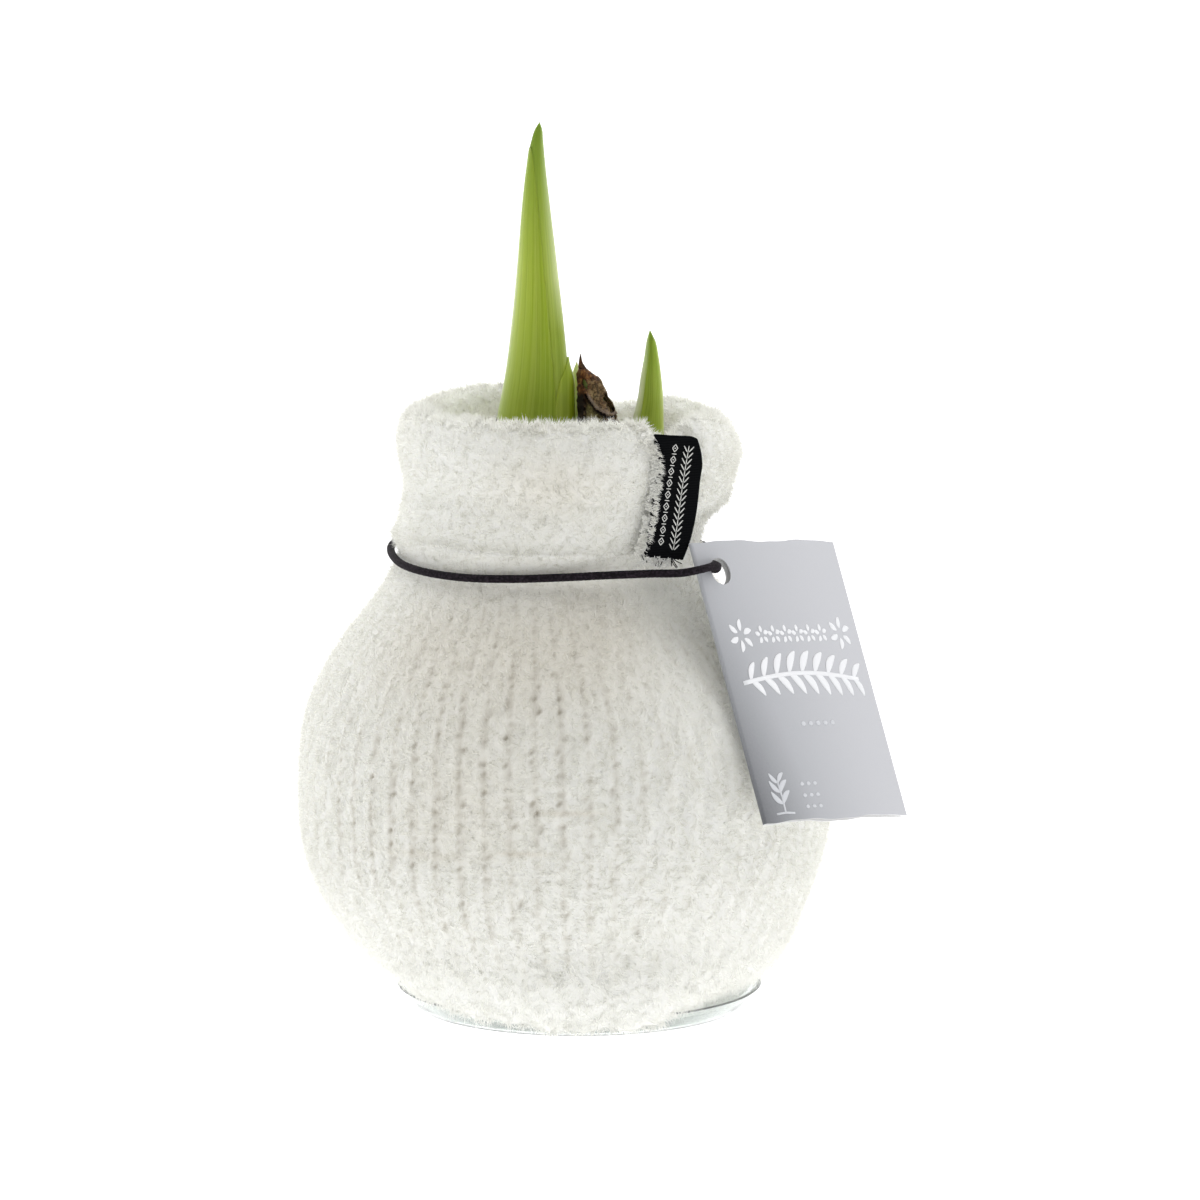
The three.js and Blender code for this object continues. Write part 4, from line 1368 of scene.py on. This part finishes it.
def dry_bits(papery):
    """The dark flake on the left and the curl on the right."""
    bm = marked(roughened(grown(LEFT_FLAKE, 24, 40), 0.22, 0.8), scorched=0.8)
    finished("dry_flake", as_mesh(bm), papery, ["dry_flake_left"])
    t = np.linspace(0, 1, 46)
    angle = FULL_TURN * CURL["turns"] * t + CURL["start"]
    radius = CURL["radius"] * (1 - 0.45 * t)
    centre = np.array(CURL["centre"])
    route = np.c_[centre[0] + (t - 0.5) * CURL["length"],
                  centre[1] + radius * np.cos(angle), centre[2] + radius * np.sin(angle)]
    widths = 0.42 * np.sin(math.pi * (0.12 + 0.8 * t)) + 0.05
    bm = tube(route, widths, 8, flat=0.45)
    bmesh.ops.recalc_face_normals(bm, faces=bm.faces)
    marked(roughened(bm, 0.1, 2.0), scorched=0.25, warmth=0.9)
    join_in(bm, marked(roughened(grown(CURL_FOOT, 24, 30), 0.18, 1.0), warmth=0.6))
    finished("dry_curl", as_mesh(bm, tidy=False), papery, ["dry_curl_right"])


# ---- Bulb ----


def bulb_finish():
    """Smooth brown tunic with a faint upright grain."""
    finish = Finish("bulb tunic", Roughness=0.55, Specular_IOR_Level=0.35)
    grain = finish.noise(260, 4, 0.6, finish.stretched((1.6, 1.6, 0.35)))
    finish.colour(finish.ramp(grain, [
        (0.3, linear(74, 46, 24)), (0.5, linear(124, 86, 50)), (0.7, linear(168, 130, 88)),
    ]))
    finish.bump(grain, 0.0004, 0.7)
    return finish.material


NECK_SCALES = [  # (x, radius, top, from and to in degrees round, seed)
    (2.6, 13.4, 112.6, 190, 330, 3), (2.6, 13.6, 112.2, 20, 150, 5), (1.0, 16.6, 109.6, 120, 300, 8),
    (2.2, 16.2, 109.2, -50, 90, 12),
]
NECK_FOOT, NECK_WALL = 104, 0.3


def bulb():
    """The bulb as grown, with the torn rims of its old scales standing round the shoots."""
    bm = bmesh.new()
    bm.from_mesh(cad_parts["bulb"].data)
    bmesh.ops.scale(bm, verts=bm.verts, vec=(1 / MM, 1 / MM, 1 / MM))
    bmesh.ops.remove_doubles(bm, verts=bm.verts, dist=1e-3)
    for x, radius, top, start, end, seed in NECK_SCALES:
        def place(a, b, x=x, radius=radius, top=top, start=start, end=end, seed=seed):
            turn = math.radians(start + (end - start) * (a + 1) / 2)
            crest = top - 2.2 * abs(a) ** 3 + 0.7 * noise.noise(Vector((seed, turn * 3, 0)))
            height = NECK_FOOT + (crest - NECK_FOOT) * b
            spread = radius - 0.6 * b + 0.25 * noise.noise(Vector((turn * 2.2, seed, b * 2)))
            return Vector((x + spread * math.cos(turn), spread * math.sin(turn), height))
        join_in(bm, thickened(sheet_grid(60, 10, place), NECK_WALL))
    finished("bulb_tunic", as_mesh(bm, tidy=False), bulb_finish(), ["bulb"])


# ---- Elastic cord ----

KNOT = {"centre": (-5, 32.9, 91.2), "size": 1.05, "strand": 0.55, "tails": 7.0}
PLAITS, PLAIT_PITCH, PLAIT_RELIEF = 4, 3.6, 0.07


def braid(angle, length):
    """The cord's plaited skin: two sets of strands wound against each other."""
    one = math.sin(PLAITS * angle + PLAIT_PITCH * length)
    two = math.sin(PLAITS * angle - PLAIT_PITCH * length)
    return 1 + PLAIT_RELIEF * max(one, two)


def elastic_finish():
    """Near black elastic with a little lint."""
    finish = Finish("braided elastic", Roughness=0.8, Specular_IOR_Level=0.12)
    finish.shader.inputs["Sheen Weight"].default_value = 0.03
    lint = finish.ramp(finish.noise(2600, 2), [(0.45, 0.0), (0.75, 1.0)])
    finish.colour(finish.mix(lint, linear(14, 9, 14), linear(54, 46, 54)))
    finish.bump(finish.noise(4200, 2), 0.0001, 0.6)
    return finish.material


def elastic_cord():
    """The plaited loop, a little thicker where it bunches in the tag's hole, with its knot."""
    route = route_points(CORD_ROUTE, 0.42)
    from_hole = np.linalg.norm(route - np.array(CORD_ROUTE[HOLE_STOP]), axis=1)
    radii = CORD_RADIUS * (0.9 + 0.5 * np.exp(-((from_hole / 1.5) ** 2)))
    bm = tube(route, radii, 14, closed=True, relief=braid)
    centre = np.array(KNOT["centre"])
    t = np.linspace(0, FULL_TURN, 64, endpoint=False)
    knot = np.c_[np.sin(t) + 2 * np.sin(2 * t), 0.8 * -np.sin(3 * t), np.cos(t) - 2 * np.cos(2 * t)]
    tube(centre + knot * KNOT["size"] * (0.62, 0.62, 0.5), KNOT["strand"], 8, closed=True, bm=bm)
    for side in (-1, 1):
        s = np.linspace(0, 1, 14)
        tail = centre + np.c_[side * (0.6 + 1.6 * s), 0.5 + 0.9 * np.sin(1.5 * s), -KNOT["tails"] * s]
        tube(tail, KNOT["strand"] * 0.95, 8, bm=bm, up=(0, 1, 0))
    finished("cord_loop", as_mesh(bm), elastic_finish(), ["elastic_cord"])


# ---- Woven label ----

LABEL_EDGE = [[-23.6, 8.5], [-20, 9.3], [-15.5, 9.8], [-8, 9.7], [-3, 9.4], [-1.2, 8.8], [0.3, 7.6]]
LABEL_TOP = 0.3
LABEL_TOP_ROUND = 0.8
LABEL_FOLD = 0.06
LABEL_OFF = 0.16


def ribbon_finish():
    """Black ribbon with its weft running across."""
    finish = Finish("woven black ribbon", Roughness=0.85, Specular_IOR_Level=0.06)
    weft = finish.add("ShaderNodeTexWave", wave_type="BANDS", bands_direction="Z")
    weft.inputs["Scale"].default_value = 620
    weft.inputs["Distortion"].default_value = 0.6
    finish.join(finish.place, weft.inputs["Vector"])
    finish.colour(finish.mix(weft.outputs["Fac"], linear(4, 5, 7), linear(12, 13, 15)))
    finish.bump(weft.outputs["Fac"], 0.0001, 0.6)
    return finish.material


def thread_finish():
    """White sewing thread."""
    finish = Finish("white thread", linear(222, 222, 218), Roughness=0.6)
    finish.bump(finish.noise(3000, 2), 0.0001, 0.5)
    return finish.material


def label_ribbon():
    """The ribbon, folded over on its right and swaying a little, with a ragged cut foot."""
    edge = np.array(LABEL_EDGE)
    half = LABEL["gap"] / 2

    def place(a, b):
        y = LABEL_TOP - (LABEL["length"] + LABEL_TOP) * (1 - b)
        wide = float(smooth(edge[:, 0], edge[:, 1], y))
        if abs(a) < LABEL_FOLD:
            turn = a / LABEL_FOLD * math.pi / 2
            x, z = wide - half + half * math.cos(turn), half - half * math.sin(turn)
        else:
            share = (1 - abs(a)) / (1 - LABEL_FOLD)
            left = float(label_left(y))
            x, z = left + (wide - half - left) * share, half - math.copysign(half, a)
        sway = float(label_sway(x, y))
        top_round = LABEL_TOP_ROUND * max(0.0, (x - 6.0) / 2.0) ** 2
        share_up = smoothstep(0.7, 1.0, b)
        ragged = 0.35 * noise.noise(Vector((x * 2.3, 3 + math.copysign(1, a), 0)))
        y += 0.35 * (x / 9) * share_up - top_round * share_up + ragged * (1 - smoothstep(0, 0.06, b))
        return Vector((x, y, z + sway + LABEL_OFF))

    bm = sheet_grid(60, 40, place)
    return put_in(thickened(bm, LABEL["cloth"] * 0.5), LABEL_PLACE)


def on_label(x, y):
    """A point of the label's face, which sways a little."""
    return (x, y, LABEL["gap"] + LABEL_OFF + float(label_sway(x, y)) + LABEL["cloth"] * 0.25)


THREAD, EAR_THREAD, THICK_THREAD = 0.1, 0.12, 0.14


def stitch(bm, start, end, thread=THREAD):
    """One raised stitch of thread on the label's face."""
    line = [on_label(start[0] + (end[0] - start[0]) * t, start[1] + (end[1] - start[1]) * t)
            for t in (0.0, 0.35, 0.65, 1.0)]
    tube(line, [thread * 0.75, thread, thread, thread * 0.75], 6, bm=bm, flat=0.7)


LOZENGES = {"count": 9, "x": 2.9, "top": -2.0, "half_width": 0.6, "half_height": 0.74, "pitch": 2.28}
WHEAT = {"rows": 17, "x": 5.9, "top": -1.3, "reach": 1.05, "step": 1.2, "gap": 0.06}


def label_stitches():
    """A plain woven border pattern: a chain of lozenges beside an ear of wheat."""
    bm = bmesh.new()
    middle, pitch = LOZENGES["x"], LOZENGES["pitch"]
    wide, tall = LOZENGES["half_width"], LOZENGES["half_height"]
    for i in range(LOZENGES["count"]):
        y = LOZENGES["top"] - pitch * i
        corners = [(middle + wide, y), (middle, y + tall), (middle - wide, y), (middle, y - tall)]
        for one, two in zip(corners, corners[1:] + corners[:1]):
            stitch(bm, one, two)
        stitch(bm, (middle - 0.12, y), (middle + 0.12, y), THICK_THREAD)
        if i < LOZENGES["count"] - 1:
            stitch(bm, (middle - 0.5, y - pitch / 2), (middle + 0.5, y - pitch / 2))
    stem, step = WHEAT["x"], WHEAT["step"]
    for i in range(WHEAT["rows"]):
        y = WHEAT["top"] - step * i
        stitch(bm, (stem, y), (stem, y - step + WHEAT["gap"]))
        for side in (-1, 1):
            tip = (stem + side * WHEAT["reach"], y - 0.1)
            stitch(bm, (stem + side * 0.2, y - step), tip, EAR_THREAD)
    return put_in(bm, LABEL_PLACE)


FRAYED = (-0.6, 7.4)
FRAY_THREAD = 0.1
WHITE_FRAY = {"seed": 5, "count": 34, "spread": 0.8}
BLACK_FRAY = {"seed": 6, "count": 10, "spread": 0.5}


def label_fray(seed, count, spread):
    """Loose ends of thread along the label's cut foot."""
    rng = np.random.default_rng(seed)
    bm = bmesh.new()
    for _ in range(count):
        x = rng.uniform(*FRAYED)
        y = -LABEL["length"] + rng.uniform(-0.15, 0.5)
        way = np.array([rng.normal(0, spread), -1.0, rng.normal(0.25, 0.3)])
        length, bend = rng.uniform(0.7, 2.1), rng.normal(0, 0.7)
        t = np.linspace(0, 1, 7)[:, None]
        route = np.array(on_label(x, y)) + (-0.1, 0, -0.25) + t * length * way
        route += t * t * bend * np.array([1.0, 0.0, 0.2])
        tube(route, FRAY_THREAD, 5, bm=bm)
    return put_in(bm, LABEL_PLACE)


def woven_label():
    """The ribbon with its stitched pattern and frayed ends."""
    black, white = ribbon_finish(), thread_finish()
    ribbon = finished("label_ribbon", as_mesh(label_ribbon()), black,
                      ["woven_label"])
    pieces = [
        finished("label_stitches", as_mesh(label_stitches()), white),
        finished("label_fray_white", as_mesh(label_fray(**WHITE_FRAY)), white),
        finished("label_fray_black", as_mesh(label_fray(**BLACK_FRAY)), black),
    ]


# ---- Hang tag ----


def bowed(x):
    """How far the card's face bulges at x, measured from its hole."""
    share = np.clip((x + TAG["from_fold"]) / TAG["width"], 0, 1)
    return 4 * TAG["bow"] * share * (1 - share)


CARD_COLUMNS, CARD_ROWS = 42, 57
HOLE_COLUMN, HOLE_ROW, HOLE_ROOM = 6.0, 51.0, 4
FOLD_INSET = 0.65
CARD_LEFT = FOLD_INSET - TAG["from_fold"]
EDGE_ROOM = 6


def card_leaf(front):
    """One leaf of the card, flat or bowed, on a millimetre grid, with its punched hole."""
    low, high = TAG["from_top"] - TAG["height"], TAG["from_top"]
    columns = np.arange(CARD_COLUMNS + 1) - HOLE_COLUMN
    columns[[0, -1]] = CARD_LEFT, TAG["width"] - TAG["from_fold"]
    rows = np.arange(CARD_ROWS + 1) - HOLE_ROW
    rows[[0, -1]] = low, high
    bm = bmesh.new()
    bmesh.ops.create_grid(bm, x_segments=CARD_COLUMNS, y_segments=CARD_ROWS, size=1)
    for vert in bm.verts:
        column = round((vert.co.x + 1) / 2 * CARD_COLUMNS)
        row = round((vert.co.y + 1) / 2 * CARD_ROWS)
        vert.co = (columns[column], rows[row], 0)
    hole_room = [f for f in bm.faces if max(abs(f.calc_center_median().x),
                                            abs(f.calc_center_median().y)) < HOLE_ROOM]
    rim = [e for f in hole_room for e in f.edges
           if sum(g in hole_room for g in e.link_faces) == 1]
    bmesh.ops.delete(bm, geom=hole_room, context="FACES_KEEP_BOUNDARY")
    inward = bmesh.ops.extrude_edge_only(bm, edges=rim)["geom"]
    for vert in (v for v in inward if isinstance(v, bmesh.types.BMVert)):
        vert.co = vert.co.normalized() * TAG["hole"]
    for vert in bm.verts:
        x, y = vert.co.x, vert.co.y
        edge = max(smoothstep(low + EDGE_ROOM, low, y), smoothstep(high - EDGE_ROOM, high, y))
        wave = edge * (0.2 * math.sin(0.3 * x) + 0.06 * math.sin(0.8 * x + 1))
        if front:
            vert.co = (x, y + wave, bowed(x))
        else:
            share = (x + TAG["from_fold"]) / TAG["width"]
            vert.co = (x, y + wave, -TAG["fold"] - (TAG["mouth"] - TAG["fold"]) * share
                       + TAG["thick"])
    return bm


def card_finish():
    """Silver grey card, with painted shade darkening it down its folded side and most of all at its
    foot.
    """
    finish = Finish("silver grey card", Roughness=0.42, Specular_IOR_Level=0.45)
    finish.shader.inputs["Coat Weight"].default_value = 0.1
    finish.shader.inputs["Coat Roughness"].default_value = 0.35
    # Painted shade: the card's colour darkens towards its fold and its foot, and printed holds this
    # shaded colour.
    fold_side_shade = finish.maths("SUBTRACT", 1.0, finish.attribute("side"), clamp=True)
    fold_side_shade = finish.maths("POWER", fold_side_shade, 1.7)
    low = finish.maths("MULTIPLY_ADD", finish.attribute("high"), -0.6, 1.0)
    printed = finish.ramp(finish.maths("MULTIPLY", fold_side_shade, low), [
        (0.0, linear(203, 204, 209)), (0.45, linear(179, 181, 186)), (1.0, linear(92, 94, 99)),
    ])
    fleck = finish.noise(2400, 3, 0.6)
    tone = finish.mix(finish.attribute("inside"), printed, linear(240, 240, 240))
    finish.colour(finish.mix(finish.maths("MULTIPLY", fleck, 0.08), tone, linear(246, 246, 248)))
    finish.bump(fleck, 0.00005, 0.35)
    return finish.material


PRINT_LIFT = 0.03


def on_card(x, y):
    """A point just off the card's face."""
    return (x, y, float(bowed(x)) + PRINT_LIFT)


def stroke(bm, points, width):
    """A printed line on the card."""
    tube([on_card(x, y) for x, y in points], width / 2, 6, bm=bm, flat=0.16)


def petal(bm, root, angle, length, plump):
    """One printed leaf or petal, growing from root at an angle in degrees."""
    way = np.array([math.cos(math.radians(angle)), math.sin(math.radians(angle))])
    side = np.array([-way[1], way[0]])
    t = np.linspace(0, 1, 11)
    line = [np.array(root) + way * length * s + side * 0.1 * length * math.sin(math.pi * s) for s in t]
    widths = 0.05 + plump * length * np.sin(math.pi * np.linspace(0.03, 0.98, 11)) ** 0.8
    tube([on_card(*q) for q in line], widths, 8, bm=bm, flat=0.1)


def garland(bm, start, length, rise, pairs, size):
    """A curved stem with paired leaves, as a printed ornament."""
    def at(t):
        return (start[0] + length * t, start[1] + rise * math.sin(math.pi * t))
    stroke(bm, [at(t) for t in np.linspace(0, 1, 20)], 1.0)
    for i in range(pairs):
        t = (i + 0.6) / pairs
        slope = math.degrees(math.atan2(rise * math.pi * math.cos(math.pi * t), length))
        grow = size * (0.72 + 0.28 * math.sin(math.pi * t))
        petal(bm, at(t), slope + 52, grow, 0.17)
        petal(bm, at(t), slope - 52, grow, 0.17)


def rosette(bm, x, y, petals, size, plump):
    """A printed flower, with its petals round an open middle."""
    for i in range(petals):
        angle = 360 / petals * i + 18
        root = (x + 0.3 * size * math.cos(math.radians(angle)),
                y + 0.3 * size * math.sin(math.radians(angle)))
        petal(bm, root, angle, 0.7 * size, plump)


FLOWERS = {"y": -13.2, "small_from": 6.9, "pitch": 3.55, "small": 6, "large_at": (0.8, 30.6)}
GARLAND = {"start": (-2.0, -22.8), "length": 34.6, "rise": 1.6, "pairs": 9, "size": 5.6}


def card_print():
    """The main print: a leafy garland under a row of small flowers with a large one at each end."""
    bm = bmesh.new()
    for i in range(FLOWERS["small"]):
        rosette(bm, FLOWERS["small_from"] + FLOWERS["pitch"] * i, FLOWERS["y"], 5, 1.9, 0.34)
    for x in FLOWERS["large_at"]:
        rosette(bm, x, FLOWERS["y"], 6, 3.4, 0.25)
    garland(bm, **GARLAND)
    return put_in(bm, TAG_PLACE)


SPROUT_STEM = [(0.2, -49.0), (0.3, -46.0), (0.1, -42.6)]
SPROUT_GROUND = [(-2.4, -49.2), (0.2, -49.0), (2.8, -49.2)]
SPROUT_LEAVES = [(-47.2, 3.6), (-44.9, 3.4), (-43.0, 2.8)]  # (height, length)
MIDDLE_DOTS = {"start": (11.4, -31.6), "columns": 5, "rows": 1, "pitch": (2.2, 0), "size": 1.3,
               "plump": 0.36}
FOOT_DOTS = {"start": (6.4, -43.6), "columns": 3, "rows": 3, "pitch": (1.9, 2.3), "size": 1.1,
             "plump": 0.34}


def dots(bm, start, columns, rows, pitch, size, plump):
    """Printed dots in rows, from the top left one on."""
    for row in range(rows):
        for column in range(columns):
            spot = (start[0] + pitch[0] * column, start[1] - pitch[1] * row)
            petal(bm, spot, 0, size, plump)


def card_small_print():
    """The fainter print: a short row of dots in the middle, and a sprout beside dots at the foot."""
    bm = bmesh.new()
    dots(bm, **MIDDLE_DOTS)
    stroke(bm, SPROUT_STEM, 0.6)
    for height, length in SPROUT_LEAVES:
        petal(bm, (0.2, height), 44, length, 0.17)
        petal(bm, (0.2, height), 136, length, 0.17)
    stroke(bm, SPROUT_GROUND, 0.5)
    dots(bm, **FOOT_DOTS)
    return put_in(bm, TAG_PLACE)


def folded_card():
    """The card's two leaves, joined by a round fold down their left side."""
    bm = card_leaf(True)
    join_in(bm, card_leaf(False))
    edges = [e for e in bm.edges if len(e.link_faces) == 1
             and all(abs(v.co.x - CARD_LEFT) < 1e-4 for v in e.verts)]
    made = bmesh.ops.bridge_loops(bm, edges=edges)
    across = [e for e in made["edges"] if abs(e.verts[0].co.z - e.verts[1].co.z) > 0.5]
    bmesh.ops.subdivide_edges(bm, edges=across, cuts=6)
    top, bottom = float(bowed(CARD_LEFT)), -TAG["fold"] + TAG["thick"]
    middle, half = (top + bottom) / 2, (top - bottom) / 2
    for vert in bm.verts:
        if vert.co.x < CARD_LEFT + 1e-4:
            share = np.clip((vert.co.z - middle) / half, -1, 1)
            vert.co.x = CARD_LEFT - half * math.sqrt(1 - share * share)
    return bm


def hang_tag():
    """The folded card, with notes on its points for its painted shade, and the raised print."""
    bm = folded_card()
    # side and high say where the card's painted shade falls.
    side = bm.verts.layers.float.new("side")
    high = bm.verts.layers.float.new("high")
    for vert in bm.verts:
        vert[side] = (vert.co.x + TAG["from_fold"]) / TAG["width"]
        vert[high] = (vert.co.y + TAG["height"] - TAG["from_top"]) / TAG["height"]
    thickened(bm, TAG["thick"] * 0.5)
    bmesh.ops.recalc_face_normals(bm, faces=bm.faces)
    inside = bm.verts.layers.float.new("inside")
    for vert in bm.verts:
        at_front = vert.co.z > float(bowed(vert.co.x)) - 0.02
        at_fold = vert.co.x < CARD_LEFT - 0.05
        vert[inside] = 0.0 if at_front or at_fold else 1.0
    put_in(bm, TAG_PLACE)
    finished("tag_card", as_mesh(bm, tidy=False), card_finish(), ["hang_tag"],
             smooth_faces=False)
    white = Finish("white print", linear(246, 247, 250), Roughness=0.5).material
    faint = Finish("faint print", linear(214, 216, 221), Roughness=0.5).material
    finished("tag_print", as_mesh(card_print()), white)
    finished("tag_small_print", as_mesh(card_small_print()), faint)


# ---- Dish ----

DISH_OUTLINE = [
    [0, 0.02], [31.6, 0.02], [32.6, 0.25], [33.5, 1.1], [35.0, 3.3], [35.6, 3.95], [36.1, 4.15],
    [36.35, 4.3], [36.3, 4.48], [36.0, 4.5], [35.5, 4.4], [34.9, 3.9], [34.4, 3.3], [32.9, 1.2],
    [32.3, 0.72], [31.6, 0.6], [0, 0.6],
]


def dish():
    """A thin formed dish of clear plastic."""
    finish = Finish("clear plastic", (0.93, 0.97, 0.95, 1), Roughness=0.06, IOR=1.4)
    finish.shader.inputs["Transmission Weight"].default_value = 0.92
    bm = spun(DISH_OUTLINE, 144)
    finished("clear_dish", as_mesh(bm), finish.material, ["dish"])


set_camera()
set_studio()
leaf_green = tall_shoot()
collar_leaf(leaf_green)
short_shoot()
small_leaves()
dry_skin = papery_finish()
dry_scale(dry_skin)
dry_bits(dry_skin)
bulb()
elastic_cord()
woven_label()
hang_tag()
dish()
cover = knitted_cover(knit_finish())
pile_pieces = cover_pile(yarn_finish())
